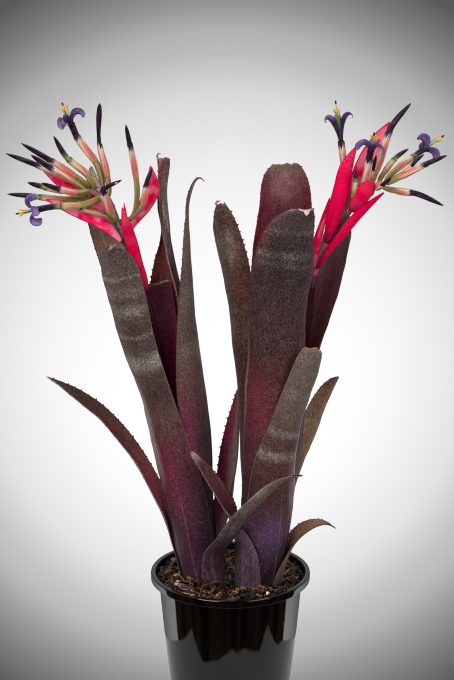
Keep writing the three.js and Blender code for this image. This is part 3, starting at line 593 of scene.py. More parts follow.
def blur(a, sigma, step):
    """a smoothed along its first axis, its ends kept."""
    n = int(3 * sigma / step)
    if n < 1:
        return a
    k = np.exp(-0.5 * (np.arange(-n, n + 1) * step / sigma) ** 2)
    k /= k.sum()
    padded = np.concatenate([2 * a[:1] - a[n:0:-1], a, 2 * a[-1:] - a[-2:-n - 2:-1]])
    return np.stack([np.convolve(column, k, "valid") for column in padded.T], axis=1)


def even(rows, step):
    """The rows at an even spacing along their line, with the length up to each."""
    length = np.concatenate([[0], np.cumsum(np.linalg.norm(np.diff(rows[:, :3], axis=0), axis=1))])
    s = np.linspace(0, length[-1], max(int(length[-1] / step), 8) + 1)
    return np.stack([np.interp(s, length, column) for column in rows.T], axis=1), s


def frames(line, side):
    """Two directions square to the line at each of its points, carried along without turning."""
    pairs = []
    for t in unit(np.gradient(line, axis=0)):
        side = unit(side - t * np.dot(side, t))
        pairs.append((side, np.cross(t, side)))
    return pairs


def tube(mesh, line, radius, sides, slot=0, ribs=(0, 0.0, 0.0), side=(0.3, 1, 0.1), **values):
    """A rod along a line, with a radius for each point and ribs (count, depth, twist) round it."""
    line = np.asarray(line, float)
    size = len(line)
    a = np.arange(sides) * FULL / sides
    count, depth, twist = ribs
    rings = []
    radius, share = np.broadcast_to(radius, (size,)), np.linspace(0, 1, size)
    for p, (one, two), r, x in zip(line, frames(line, side), radius, share):
        r = r * (1 + depth * np.cos(count * a + twist * x))
        rings.append(p + r[:, None] * (np.cos(a)[:, None] * one + np.sin(a)[:, None] * two))
    given = {k: np.repeat(np.broadcast_to(v, (size,)), sides) for k, v in values.items()}
    mesh.add(rings, skin_faces(size, sides), slot, turn=np.tile(a / FULL, size), **given)


def lathe(mesh, outline, segments, down=False):
    """A turned solid. The outline runs from the axis below round to the axis above, or the other
    way with down, as [radius, height] rows, where a height may be a function of x and y."""
    a = np.arange(segments) * FULL / segments
    co, faces, starts = [], [], []
    for r, z in outline:
        b = a if r > 1e-6 else a[:1]
        x, y = r * np.cos(b), r * np.sin(b)
        starts.append((len(co), r > 1e-6))
        co += list(np.stack([x, y, z(x, y) if callable(z) else np.full(len(b), float(z))], axis=1))
    for (p, wide_p), (q, wide_q) in zip(starts, starts[1:]):
        for j in range(segments):
            k = (j + 1) % segments
            face = (p + j, p + k) if wide_p else (p,)
            face += (q + k, q + j) if wide_q else (q,)
            faces.append(face[:1] + face[:0:-1] if down else face)
    mesh.add(co, faces)


# ---------------------------------------------------------------- leaves

def leaf_rows(leaf, step):
    """Even [x, y, z, width, cup, facing] rows of a leaf, and the length up to each: its sheath on
    its shell, then its blade."""
    axis, sheath = AXES[leaf["on"]], np.array(leaf["sheath"])

    def on_shell(z, facing, cup):
        radius = leaf["shell"] * (1 + SHELL_FLARE * (z - SHELL_HEIGHT))
        i = max([k for k in range(len(axis) - 1) if axis[k][2] <= z], default=0)
        x, y, _ = catmull(axis, [i + (z - axis[i][2]) / (axis[i + 1][2] - axis[i][2])])[0]
        f = math.radians(facing)
        return [x - radius * math.cos(f), y - radius * math.sin(f), z,
                2 * radius * math.radians(cup), cup, facing]

    low = [on_shell(z, *(np.interp(z, sheath[:, 0], sheath[:, k]) for k in (1, 2)))
           for z in np.arange(sheath[0, 0], sheath[-1, 0], 2.0)]
    rows = [on_shell(*row) for row in sheath] + leaf["blade"]
    first, last = len(sheath) - 1, len(rows) - 1
    t = np.linspace(first, last, 30 * (last - first) + 1)
    rows, s = even(np.concatenate([low, catmull(rows, t)]), step)
    rows = blur(rows, 3.5, step)
    rows[:, 3] = np.maximum(rows[:, 3], 0.6)
    return rows, s


def strap(mesh, rows, s, columns, thickness, seed, wavy=0.5, ragged=0.0, teeth=1.7, slot=0, thin=0.55,
          carry=0.0):
    """A leaf or bract as one thin closed skin, its back and then its hollow side. Gives its middle
    surface and the directions along it, which the thorns need."""
    along = unit(np.gradient(rows[:, :3], axis=0))
    f = np.radians(rows[:, 5])
    across = np.cross([0, 0, 1], np.stack([np.cos(f), np.sin(f), 0 * f], axis=1))
    across = unit(across - along * np.sum(across * along, axis=1, keepdims=True))
    hollow = np.cross(across, along)
    half = np.radians(rows[:, 4])
    radius = rows[:, 3] / (2 * half)
    total = s[-1]
    u = np.linspace(-1, 1, columns)
    u = np.sin(u * math.pi / 2) * 0.35 + u * 0.65
    tear = wave(u * teeth, seed + 5, 4) * ragged
    lift = wavy * wave(s[:, None] / 55 + u * 0.35, seed + 1)
    lift = lift + wavy * 1.1 * np.abs(u) ** 3 * wave(s[:, None] / 26 + 7 * np.sign(u), seed + 2)
    lift = lift * np.clip((s - 30) / 60, 0, 1)[:, None]
    near_tip = np.clip(1 - (total - s) / 5, 0, 1)[:, None] ** 2
    thick = thickness * (1 - (1 - thin) * np.abs(u) ** 3) * np.clip((total - s) / 8 + 0.35, 0.35, 1)[:, None]
    angle = u * half[:, None]

    def surface(side):
        out = radius[:, None] + side * thick / 2
        p = rows[:, None, :3] + hollow[:, None] * (radius[:, None] - out * np.cos(angle))[..., None]
        p = p + across[:, None] * (out * np.sin(angle))[..., None]
        normal = across[:, None] * np.sin(angle)[..., None] - hollow[:, None] * np.cos(angle)[..., None]
        p = p + normal * lift[..., None] + (across * np.reshape(carry, (-1, 1)))[:, None]
        return p + along[:, None] * (tear * near_tip)[..., None]

    back, front = surface(1), surface(-1)
    us = np.concatenate([u, u[::-1]])
    t = np.repeat(s / total, 2 * columns)
    strip = np.stack(np.broadcast_arrays(rows[:, 3:4] / 2 * us, s[:, None], seed * 3.7), axis=2)
    ring = np.concatenate([back, front[:, ::-1]], axis=1)
    mesh.add(ring, skin_faces(len(rows), 2 * columns, thin=True), slot,
             leaf_t=t, leaf_u=np.tile(us, len(rows)), leaf_in=np.tile(np.repeat([0, 1], columns), len(rows)),
             strip=strip.reshape(-1, 3))
    return (back + front) / 2, along


def spines(mesh, middle, s, along, seed, slot, start, size, gap):
    """Small thorns along the margins, leaning towards the tip."""
    rng = np.random.default_rng(SEEDS["thorn"] + seed)
    faces = [(j, (j + 1) % 4, 4 + (j + 1) % 4, 4 + j) for j in range(4)]
    faces += [(4 + j, 4 + (j + 1) % 4, 8) for j in range(4)] + [(3, 2, 1, 0)]
    for side, edge, inner in ((-1, middle[:, 0], middle[:, 1]), (1, middle[:, -1], middle[:, -2])):
        at = start + rng.uniform(0, gap)
        while at < s[-1] - 4:
            i = min(int(np.searchsorted(s, at)), len(s) - 2)
            p, t = edge[i], unit(along[i])
            o = p - inner[i]
            o = unit(o - t * np.dot(o, t))
            n = np.cross(t, o)
            k = size * rng.uniform(0.75, 1.25)
            points = [p - o * 0.25 + t * d + n * e
                      for d, e in ((1.05 * k, 0), (0, 0.3), (-1.05 * k, 0), (0, -0.3))]
            points += [p + o * 0.55 * k + t * (0.25 * k + d) + n * e
                       for d, e in ((0.42 * k, 0), (0, 0.17), (-0.42 * k, 0), (0, -0.17))]
            mesh.add(points + [p + o * 1.25 * k + t * 0.85 * k], faces, slot, leaf_t=at / s[-1], leaf_u=side)
            at += gap * rng.uniform(0.75, 1.3)


def leaf_material(name, leaf, rows, s):
    total = s[-1]
    upright = leaf["back"][-1][0] >= 2
    grainy, stripes = leaf.get("grain", 1.0), 0.26 * leaf.get("stripes", 0.5)
    mottle = 0.16 + 0.12 * leaf.get("mottle", 0)

    def share(v):
        return float(np.interp(v, rows[:, 2], s)) / total if upright else v

    n = Look(name)
    t, u, inside = n.attr("leaf_t"), n.attr("leaf_u"), n.attr("leaf_in")
    outside = inside.span(0.55, 0.45)
    here, strip = n.place(), n.attr("strip", "Vector")
    broad, patch = n.noise(here, 34, 3), n.noise(here, 130, 5, 0.62)
    grain = n.noise(here, 420, 1) * 0.22 + n.noise(here, 1250, 1, 0.6) * 0.78
    fleck = grain.span(0.47, 0.62)
    lines = n.noise(n.scaled(strip, (1.1, 0.014, 1)), 1.0, 4, 0.65)
    sway = (patch - 0.5) * 0.03 + t

    def face(stops, clouds):
        colour = n.ramp(sway, [[share(place), *shade] for place, *shade in leaf[stops]])
        for z, dz, cu, du, r, g, b, strength in leaf.get(clouds, ()):
            up, over = (sway - share(z)) / (dz / total), (u - cu) / du
            colour = n.over(colour, ((up * up + over * over).span(0, 1.4, 1, 0) * strength, r, g, b))
        return colour

    colour = n.mix(inside.span(0.45, 0.55), face("back", "clouds"), face("hollow", "inner_clouds"))
    shade = lines.span(0.3, 0.7, 1 - stripes, 1 + stripes, smooth=False)
    shade *= patch.span(0.3, 0.7, 1 - mottle, 1 + mottle, smooth=False)
    # Painted shade and light across the back: the across table darkens or lightens the back towards its margins
    if "across" in leaf:
        over = n.ramp(u * 0.5 + 0.5, [[0.5 + 0.5 * x, v / 2] for x, v in leaf["across"]]) * 2.0
        shade *= inside + outside * over
    colour = n.mix(1.0, colour, shade, "MULTIPLY")

    # Grey scales: a dark ground, and bright flecks that crowd together in the bands
    contrast = grain.span(0.38, 0.64, 0.9 - 0.36 * grainy, 0.98 + 0.396 * grainy, smooth=False)
    colour = n.mix(1.0, colour, contrast, "MULTIPLY")
    cover = fleck * (0.1 * grainy)
    if "bands" in leaf:
        ripple = n.noise(n.scaled(strip, (0.05, 0.02, 1)), 1.0, 2)
        bend = u * u * (-1.5 / total) + t + (ripple - 0.5) * (5 / total)
        bend += (n.noise(here, 300, 2) - 0.5) * (3 / total)
        for z, dz, strength in leaf["bands"]:
            cover += abs(bend - share(z)).span(0.0, dz * 1.7 / total, strength, 0.0)
        cover *= n.noise(n.scaled(strip, (0.09, 0.06, 1)), 1.0, 2).span(0.35, 0.62, 0.7, 1.15)
    cover *= broad.span(0.3, 0.62, 0.55, 1.15) * (fleck * 1.15 + 0.35)
    colour = n.over(colour, (cover * (outside * 0.6 + 0.4), 158, 146, 140))
    for cu, du, top, strength in leaf.get("lines", ()):
        near = abs((broad - 0.5) * 0.12 + u - cu).span(0.0, du, 1, 0) * t.span(share(top), share(top) - 0.12)
        near *= outside * patch.span(0.35, 0.6, 0.3, 1)
        colour = n.over(colour, (near * strength, 176, 150, 158))
    for patched in leaf.get("patches", ()):
        centre, reach, tint = patched[:3], patched[3:6], patched[6:]
        gone = n.node("VectorMath", {0: here, 1: [v * MM for v in centre]}, operation="SUBTRACT")
        shrunk = n.scaled(gone, [1 / (v * MM) for v in reach])
        far = n.node("VectorMath", {0: shrunk}, "Value", operation="LENGTH")
        colour = n.over(colour, (((patch - 0.5) * 1.2 + far).span(0.8, 1.0, 1, 0), *tint))
    wide, low = leaf.get("rim_wide", 0), leaf.get("rim_from", 0.12)
    for way, key in ((1.0, "plus"), (-1.0, "minus")):
        rim = (u * way).span(0.93 - wide, 0.99 - wide) * t.span(low, low + 0.18, 0.1, 0.75)
        colour = n.over(colour, (rim, *leaf[key][0]))
    dry = t.span(1 - 3.5 / total, 1 - 0.3 / total) * patch.span(0.35, 0.6, 0.1, 0.9)
    n.bump(lines * 0.9 + grain * 0.4, 0.6, 0.0007)
    return n.done(n.over(colour, (dry, 128, 100, 80)), (grain - 0.5) * 0.3 + 0.46, 0.14)


def spine_material():
    n = Look("thorns")
    where = n.noise(n.place(), 500, 2)
    return n.done(n.ramp(where, "0.3 38 18 18, 0.7 86 38 34"), where.span(0, 1, 0.4, 0.6), 0.25)


def make_leaves():
    thorns = spine_material()
    dried = plain_material("dried_tip", (88, 60, 50), (176, 148, 136), 420, (0.6, 0.85))
    for index, (node, leaf) in enumerate(LEAVES.items()):
        leaf = {k: table(v) if isinstance(v, str) and k != "on" else v for k, v in leaf.items()}
        rows, s = leaf_rows(leaf, 1.5)
        mesh = Mesh()
        carry = np.interp(rows[:, 2], *zip(*leaf["carry"])) if "carry" in leaf else 0.0
        columns = 27 if rows[:, 3].max() > BROAD_LEAF else 19
        middle, along = strap(mesh, rows, s, columns, THICK["leaf"], SEEDS["leaf"] + index,
                              ragged=leaf.get("ragged", 1.2), teeth=leaf.get("teeth", 1.7), carry=carry)
        spines(mesh, middle, s, along, index, 1, 0.22 * s[-1], leaf.get("size", 0.85), leaf.get("gap", 6.5))
        if "flap" in leaf:
            strap(mesh, *even(dense(leaf["flap"], 12), 0.35), 9, THICK["shred"], SEEDS["flap"], wavy=0.2,
                  ragged=0.5, slot=2)
        looks = [leaf_material(node + "_skin", leaf, rows, s), thorns, dried]
        mesh.piece(node + "_blade", looks, "leaf", node)


# ---------------------------------------------------------------- bracts

def bract_material(name, pale, tip):
    n = Look(name)
    t, u, here = n.attr("leaf_t"), n.attr("leaf_u"), n.place()
    veins = n.noise(n.scaled(n.attr("strip", "Vector"), (2.0, 0.03, 1)), 1.0, 2)
    cloud, grain = n.noise(here, 90, 3), n.noise(here, 1300, 2)
    deep = n.ramp(t, "0 118 0 60, 0.14 194 0 60, 0.55 218 0 68, 1 206 0 62")
    soft = n.mix(cloud.span(0.42, 0.6), srgb(246, 34, 98), srgb(252, 132, 164))
    edge = abs(u)
    colour = n.over(n.mix(cloud.span(0.26, 0.46) * pale, deep, soft),
                    (veins.span(0.5, 0.74, 0, 0.3), 214, 4, 66),
                    (veins.span(0.28, 0.46, 0.6 - 0.4 * pale, 0), 138, 0, 40),
                    # Painted shade in a dark band inside each margin, and a painted highlight on the margin's
                    # very edge
                    (edge.span(0.8, 0.92, 0, 0.7), 136, 0, 32),
                    (edge.span(0.95, 1.0, 0, 0.5), 214, 60, 96),
                    (t.span(0.66, 0.95) * grain.span(0.5, 0.62) * tip, 236, 120, 146),
                    (grain.span(0.62, 0.7) * cloud.span(0.3, 0.6, 0.05, 0.3), 244, 110, 140))
    n.bump(grain * 0.3 + veins, 0.5, 0.0004)
    return n.done(colour, cloud.span(0.2, 0.8, 0.4, 0.55), 0.02)


def make_bracts():
    for index, (node, (pale, tip, rows)) in enumerate(BRACTS.items()):
        rows, s = even(dense(table(rows), 40), 0.8)
        rows[:, 3] = np.maximum(rows[:, 3], 0.4)
        mesh = Mesh()
        strap(mesh, rows, s, 17, THICK["bract"], SEEDS["bract"] + index, wavy=0.25, ragged=0.2, thin=0.5)
        if node == "left_bract_front":
            strap(mesh, *even(dense(table(SPIKE), 12), 0.5), 7, THICK["shred"], SEEDS["spike"], wavy=0.0)
        mesh.piece(node + "_vane", [bract_material(node + "_skin", pale, tip)], "bract", node)


# ---------------------------------------------------------------- stalks

def stalk_material(name, stops, frost, bare):
    n = Look(name)
    t, here = n.attr("along"), n.place()
    grain, cloud = n.noise(here, 1300, 2), n.noise(here, 160, 3)
    turn = n.math("SINE", n.attr("turn") * (4 * FULL) + t * 30)
    frost = t.span(bare, bare + 0.03, 0, frost)
    colour = n.over(n.ramp(t, stops), (grain.span(0.42, 0.6) * cloud.span(0.3, 0.7) * frost, 176, 156, 156),
                    (turn.span(0.1, 0.7) * frost, 84, 36, 50), (turn.span(-0.4, -0.9) * frost, 168, 146, 154))
    n.bump(grain * 0.4 + cloud, 0.4, 0.0005)
    return n.done(colour, cloud.span(0.2, 0.8, 0.45, 0.62), 0.14)


def make_scapes():
    for node, (frost, rings, rows, colours) in SCAPES.items():
        rows, s = even(dense(table(rows), 30), 1.0)
        share, radius = s / s[-1], rows[:, 3].copy()
        for at in rings:
            radius += 0.55 * np.exp(-((s - at * s[-1]) / 1.1) ** 2)
        radius += 0.12 * wave(s / 7, 3)
        radius[-3:] *= [0.9, 0.7, 0.35]
        mesh = Mesh()
        tube(mesh, rows[:, :3], radius, 24, along=share)
        top = int(np.argmax(rows[:, 2])) + 1
        stops = [[float(np.interp(z, rows[:top, 2], share[:top])), *shade] for z, *shade in table(colours)]
        mesh.piece(node + "_stalk", [stalk_material(node + "_skin", stops, frost, stops[2][0])], "scape", node)


# ---------------------------------------------------------------- flowers

def ovary_material():
    n = Look("ovary")
    t, here, green = n.attr("along"), n.place(), n.attr("green")
    ribs = n.math("SINE", n.attr("turn") * (3 * FULL))
    cloud, grain = n.noise(here, 110, 2), n.noise(here, 1300, 3)
    colour = n.ramp(t, "0 116 62 62, 0.15 116 82 62, 0.45 122 108 60, 0.85 140 124 70, 1 164 128 84")
    rosy = n.mix(grain.span(0.35, 0.65), srgb(128, 84, 66), srgb(158, 110, 90))
    colour = n.mix(cloud.span(0.4, 0.66, 0, 0.8) * (green * -1.0 + 1.0), colour, rosy)
    colour = n.over(colour, (green * 0.6, 134, 142, 52), (ribs.span(-0.9, 0.9, 0.3, 0), 84, 70, 40),
                    (ribs.span(0.3, 1, 0, 0.3), 186, 176, 120))
    n.bump(grain * 0.4 + ribs, 0.3, 0.0004)
    return n.done(colour, cloud.span(0.2, 0.8, 0.36, 0.5), 0.3)


def sepal_material():
    n = Look("sepal")
    t, u, here = n.attr("along"), n.attr("side"), n.place()
    cloud, fine = n.noise(here, 110, 2), n.noise(here, 1200, 2)
    streak = n.noise(n.join(u * 2.2, t * 0.7, n.attr("seed")), 1.0, 3, 0.5)
    body = n.ramp(t, "0 158 128 82, 0.1 182 120 90, 0.3 196 92 90, 0.6 202 110 106, 0.8 206 156 134, "
                     "0.9 120 90 112, 0.96 58 34 84, 1 40 22 60")
    pale = n.ramp(t, "0 160 134 84, 0.12 188 158 110, 0.3 206 178 144, 0.6 214 198 166, 0.84 200 202 160, "
                     "0.93 90 70 110, 1 50 30 74")
    leafy = n.ramp(t, "0 146 152 70, 0.7 170 184 96, 0.88 120 130 84, 1 54 36 70")
    colour = n.over(body, (streak.span(0.5, 0.68, 0, 0.7) * t.span(0.02, 0.2), 180, 54, 70))
    colour = n.mix((abs(u) + (streak - 0.5) * 1.8).span(0.4, 0.8, 0, 0.95), colour, pale)
    colour = n.mix(n.attr("green") * cloud.span(0.35, 0.6, 0.15, 0.7), colour, leafy)
    colour = n.over(colour, (fine.span(0.35, 0.5, 0.2, 0), 132, 70, 58))
    n.bump(streak, 0.3, 0.0004)
    return n.done(colour, cloud.span(0.2, 0.8, 0.34, 0.46), 0.3)


def corolla_material():
    n = Look("corolla")
    t, here = n.attr("along"), n.place()
    cloud, fine = n.noise(here, 150, 3), n.noise(here, 900, 3)
    dark = n.ramp(t, "0 40 26 42, 0.15 34 16 32, 0.5 32 12 28, 1 22 8 20")
    leafy = n.ramp(t, "0 166 176 92, 0.14 118 126 62, 0.3 44 32 38, 1 24 9 22")
    seam = n.math("SINE", (t * 0.6 + n.attr("turn")) * (3 * FULL))
    # The lighter cloudy patches and fine flecks over the dark corolla are painted highlights
    colour = n.over(n.mix(n.attr("green"), dark, leafy), (seam.span(0.8, 1.0, 0, 0.6), 62, 38, 72),
                    (cloud.span(0.55, 0.72, 0, 0.4), 54, 26, 54), (fine.span(0.55, 0.7, 0, 0.2), 80, 58, 88))
    n.bump(seam, 0.4, 0.0005)
    return n.done(colour, cloud.span(0.2, 0.8, 0.34, 0.5), 0.18)


def petal_material():
    n = Look("petal")
    t, u, here = n.attr("leaf_t"), n.attr("leaf_u"), n.place()
    cloud = n.noise(here, 200, 2)
    veins = n.noise(n.scaled(n.attr("strip", "Vector"), (0.9, 0.1, 1)), 1.0, 3)
    colour = n.ramp(t, "0 30 16 32, 0.3 46 28 56, 0.48 80 54 104, 0.7 112 80 140, 0.9 130 98 158, 1 88 58 110")
    colour = n.over(colour, (veins.span(0.46, 0.66, 0, 0.6) * t.span(0.3, 0.6), 160, 134, 186),
                    (veins.span(0.46, 0.32, 0, 0.6), 58, 34, 76), (abs(u).span(0.8, 1, 0, 0.6), 62, 36, 84),
                    # The dark cloudy patches laid last are painted shade on the curled petals
                    (cloud.span(0.48, 0.66, 0, 0.6), 60, 36, 84))
    n.bump(veins, 0.4, 0.0004)
    return n.done(colour, cloud.span(0.2, 0.8, 0.4, 0.55), 0.2)


def centripetal(points, count):
    """Centripetal Catmull-Rom through the points, evenly spaced along its length."""
    p = np.asarray(points, float)
    ext = np.concatenate([[2 * p[0] - p[1]], p, [2 * p[-1] - p[-2]]])
    fine = []
    for i in range(1, len(ext) - 2):
        p0, p1, p2, p3 = ext[i - 1:i + 3]
        d0, d1, d2 = (max(np.linalg.norm(b - a) ** 0.5, 1e-4) for a, b in ((p0, p1), (p1, p2), (p2, p3)))
        m1 = ((p1 - p0) / d0 - (p2 - p0) / (d0 + d1) + (p2 - p1) / d1) * d1
        m2 = ((p2 - p1) / d1 - (p3 - p1) / (d1 + d2) + (p3 - p2) / d2) * d1
        x = np.linspace(0, 1, 60, endpoint=i == len(ext) - 3)[:, None]
        fine.append(p1 * (2 * x**3 - 3 * x**2 + 1) + m1 * (x**3 - 2 * x**2 + x)
                    + p2 * (-2 * x**3 + 3 * x**2) + m2 * (x**3 - x**2))
    fine = np.concatenate(fine)
    length = np.concatenate([[0], np.cumsum(np.linalg.norm(np.diff(fine, axis=0), axis=1))])
    s = np.linspace(0, length[-1], count)
    return np.stack([np.interp(s, length, column) for column in fine.T], axis=1), length[-1]


def profile_of(ovary, sepal, opened, club):
    """[share, radius] rows of a flower's tube."""
    mid, petal = sepal - ovary, 1 - sepal
    rows = [[0, 1.3], [0.3 * ovary, 2.0], [0.75 * ovary, 2.6], [ovary, 2.45], [ovary + 0.3 * mid, 2.75]]
    if opened:
        return rows + [[ovary + 0.8 * mid, 2.65], [sepal, 2.55], [sepal + 0.5 * petal, 2.5], [1, 2.7]]
    if club:
        neck, tip = [[ovary + 0.75 * mid, 2.3], [sepal, 1.7]], "0.2 1.6, 0.65 2.4, 0.9 1.9, 0.97 1.2, 1 0.3"
    else:
        neck, tip = [[ovary + 0.7 * mid, 2.6], [sepal, 2.3]], "0.3 2.3, 0.62 1.95, 0.88 1.15, 1 0.25"
    return rows + neck + [[sepal + x * petal, r] for x, r in table(tip)]


def sepals(mesh, line, profile, girth, start, stop, seed, slot, green, reach):
    """Three overlapping sepals round the tube, each a thin closed blade with a pointed tip."""
    rng = np.random.default_rng(seed)
    sides = np.array(frames(line, (0, 1, 0)))
    roll = rng.uniform(0, FULL)
    u = np.linspace(-1, 1, 11)
    us = np.concatenate([u, u[::-1]])
    for k in range(3):
        x = np.linspace(start, stop + rng.uniform(-0.025, 0.025), 30)
        grow = (x - start) / (x[-1] - start)
        half = math.radians(82) * np.sqrt(np.clip(1 - grow ** 3.2, 0, 1)) + 0.02
        i = np.minimum((x * (len(line) - 1)).astype(int), len(line) - 2)
        f = (x * (len(line) - 1) - i)[:, None]
        p = line[i] * (1 - f) + line[i + 1] * f
        r = girth * np.interp(x, *zip(*profile)) - 0.1 + 0.3 * grow ** 6
        r = r + (0.16 + 0.15 * k * (1 - grow)) * np.minimum(1, 5 * grow)
        a = roll + k * FULL / 3 + u * half[:, None] + 0.5 * grow[:, None]
        ray = np.cos(a)[..., None] * sides[i, None, 0] + np.sin(a)[..., None] * sides[i, None, 1]
        outer, inner = (p[:, None] + ray * (r + d)[:, None, None] for d in (0.16, -0.12))
        ring = np.concatenate([outer, inner[:, ::-1]], axis=1)
        mesh.add(ring, skin_faces(len(x), len(us), thin=True), slot, along=np.repeat(grow * reach, len(us)),
                 side=np.tile(us, len(x)), seed=seed * 5.3 + k, green=green)


def petals(mesh, throat, along, opened, seed, slot):
    """Three petals that curl out and back from the throat."""
    rolls, _, size, curl, twirl = opened
    long = size > LONG_PETAL
    rng = np.random.default_rng(seed)
    side = unit(np.array([0.0, 1.0, 0.0]) - along * along[1])
    other = np.cross(along, side)
    x, u = np.linspace(0, 1, 36), np.linspace(-1, 1, 11)
    us = np.concatenate([u, u[::-1]])
    width = np.interp(x, [0, 0.25, 0.6, 0.85, 1], [4.4, 6.0, 8.8, 8.4, 3.6]) * (0.62 if long else 1)
    cup = np.interp(x, [0, 0.3, 1], [1.0, 0.55, 0.3])
    radius, angle = width / (2 * cup), u * cup[:, None]
    for i, roll in enumerate(rolls):
        a = math.radians(roll)
        outward = math.cos(a) * side + math.sin(a) * other
        across = np.cross(along, outward)
        turn = math.radians(curl * rng.uniform(0.94, 1.08)) * (0.12 * x + 0.88 * x ** (6.0 if long else 2.0))
        turn = turn[:, None]
        length = size * rng.uniform(0.95, 1.05)
        drift = (rng.uniform(-0.25, 0.25) * x)[:, None]
        heading = np.cos(turn) * along + np.sin(turn) * outward + across * drift
        line = throat + outward * 1.7 - along * 4 + np.cumsum(heading * length / len(x), axis=0)
        hollow = np.sin(turn) * along - np.cos(turn) * outward
        twist = (twirl * np.clip((x - 0.15) / 0.5, 0, 1) * math.sin(a) * (1 if i != 1 else 0.7))[:, None]
        spread = across * np.cos(twist) + hollow * np.sin(twist)
        hollow = hollow * np.cos(twist) - across * np.sin(twist)
        parts = []
        for thick in (0.16, -0.16):
            out = radius[:, None] + thick
            p = line[:, None] + hollow[:, None] * (radius[:, None] - out * np.cos(angle))[..., None]
            parts.append(p + spread[:, None] * (out * np.sin(angle))[..., None])
        strip = np.stack(np.broadcast_arrays(width[:, None] / 2 * us, x[:, None] * 20, float(seed + i)), axis=2)
        ring = np.concatenate([parts[0], parts[1][:, ::-1]], axis=1)
        mesh.add(ring, skin_faces(len(x), len(us), thin=True), slot, leaf_u=np.tile(us, len(x)),
                 leaf_t=np.repeat(x ** (2.2 if long else 1.0), len(us)), strip=strip.reshape(-1, 3))


def stamens(mesh, throat, along, length, seed, slots):
    """A tuft of filaments with their anthers, and the style with its dark twisted stigma."""
    rng = np.random.default_rng(seed)
    side = unit(np.cross(along, [0.3, 0.2, 1.0]))
    other = np.cross(along, side)
    filament, anther, stigma = slots
    start = throat - along * 2
    x = np.linspace(0, 1, 9)[:, None]
    for i in range(6):
        a = i * math.pi / 3 + rng.uniform(-0.3, 0.3)
        ray = math.cos(a) * side + math.sin(a) * other
        reach = length * rng.uniform(0.6, 0.78)
        line = start + ray * (0.7 + rng.uniform(0.3, 1.6) * x ** 1.6) + along * (reach + 2) * x
        tube(mesh, line, np.linspace(0.42, 0.3, 9), 6, filament)
        lean = unit(unit(line[-1] - line[-2]) + ray * 0.35)
        tube(mesh, line[-1] + lean * np.linspace(-0.8, 3.6, 8)[:, None],
             (0.15, 0.5, 0.6, 0.55, 0.6, 0.52, 0.4, 0.1), 8, anther)
    x = np.linspace(0, 1, 10)[:, None]
    line = start + along * (length * 0.92 + 2) * x + side * 0.5 * np.sin(2.5 * x)
    tube(mesh, line, 0.26, 6, filament)
    z = np.linspace(0, 1, 12)[:, None]
    for a in np.arange(3) * FULL / 3:
        ray = np.cos(a + 4 * z) * side + np.sin(a + 4 * z) * other
        tube(mesh, line[-1] + along * 3.2 * z + ray * 0.42,
             0.34 * np.sin(np.linspace(0.35, 2.9, 12)) + 0.08, 6, stigma)


def make_flower(node, looks, stalk, index, text, girth, ovary, sepal, opened=None, green=0.0, slender=1,
                club=False, reach=1.0):
    points = np.array(table(text))
    base = stalk[np.argmin(np.linalg.norm(stalk - points[0], axis=1))]
    line, length = centripetal([base, *points], 72)
    hidden = np.linalg.norm(points[0] - base) / length
    ovary, sepal = (hidden + (1 - hidden) * v for v in (ovary, sepal))
    profile = profile_of(ovary, sepal, opened, club)
    share = np.linspace(0, 1, len(line))
    radius = girth * np.interp(share, *zip(*profile))
    radius *= np.interp(share, [sepal - 0.06, sepal + 0.02], [1, slender])
    radius = blur(radius[:, None], 0.018, 1 / 71)[:, 0]
    mesh = Mesh()
    k = int((ovary + 0.03) * len(line))
    up = (0.0, 1.0, 0.0)
    tube(mesh, line[:k], radius[:k], 24, 0, (6, 0.07, 0.6), up, along=share[:k] / ovary, green=green)
    j = k - 2
    inner = radius[j:] * np.interp(share[j:], [ovary, (ovary + sepal) / 2, sepal, 1], [0.86, 0.86, 1, 1])
    tube(mesh, line[j:], inner, 24, 2, (3, 0.08, 2.0), up, green=green,
         along=np.clip((share[j:] - sepal) / (1 - sepal), 0, 1))
    sepals(mesh, line, profile, girth, ovary - 0.015, sepal, SEEDS["sepal"] + index, 1, green, reach)
    if opened:
        way = unit(line[-1] - line[-3])
        petals(mesh, line[-1], way, opened, index, 3)
        stamens(mesh, line[-1], way, opened[1], index, (4, 5, 6))
    elif node == "left_flower_13":
        anther = line[-1] + table("-6 -2.3 -3, -5.1 -3.1 -2.5, -4.1 -3.1 -2, -3.2 -2.3 -1.6")
        tube(mesh, anther, (0.25, 0.65, 0.65, 0.25), 8, 5)
    mesh.piece(node + "_bloom", looks, "flower", node)


def make_flowers():
    looks = [ovary_material(), sepal_material(), corolla_material(), petal_material(),
             plain_material("filament", (86, 126, 36), (140, 168, 62)),
             plain_material("anther", (214, 134, 4), (236, 178, 20)),
             plain_material("stigma", (22, 16, 24), (50, 38, 50))]
    index = 0
    for side, flowers in FLOWERS.items():
        stalk = dense(table(SCAPES[side + "_scape"][2]), 8)[:, :3]
        for number, (*measures, more) in enumerate(flowers, 1):
            make_flower(f"{side}_flower_{number}", looks, stalk, index, *measures, **more)
            index += 1


# ---------------------------------------------------------------- pot and mix

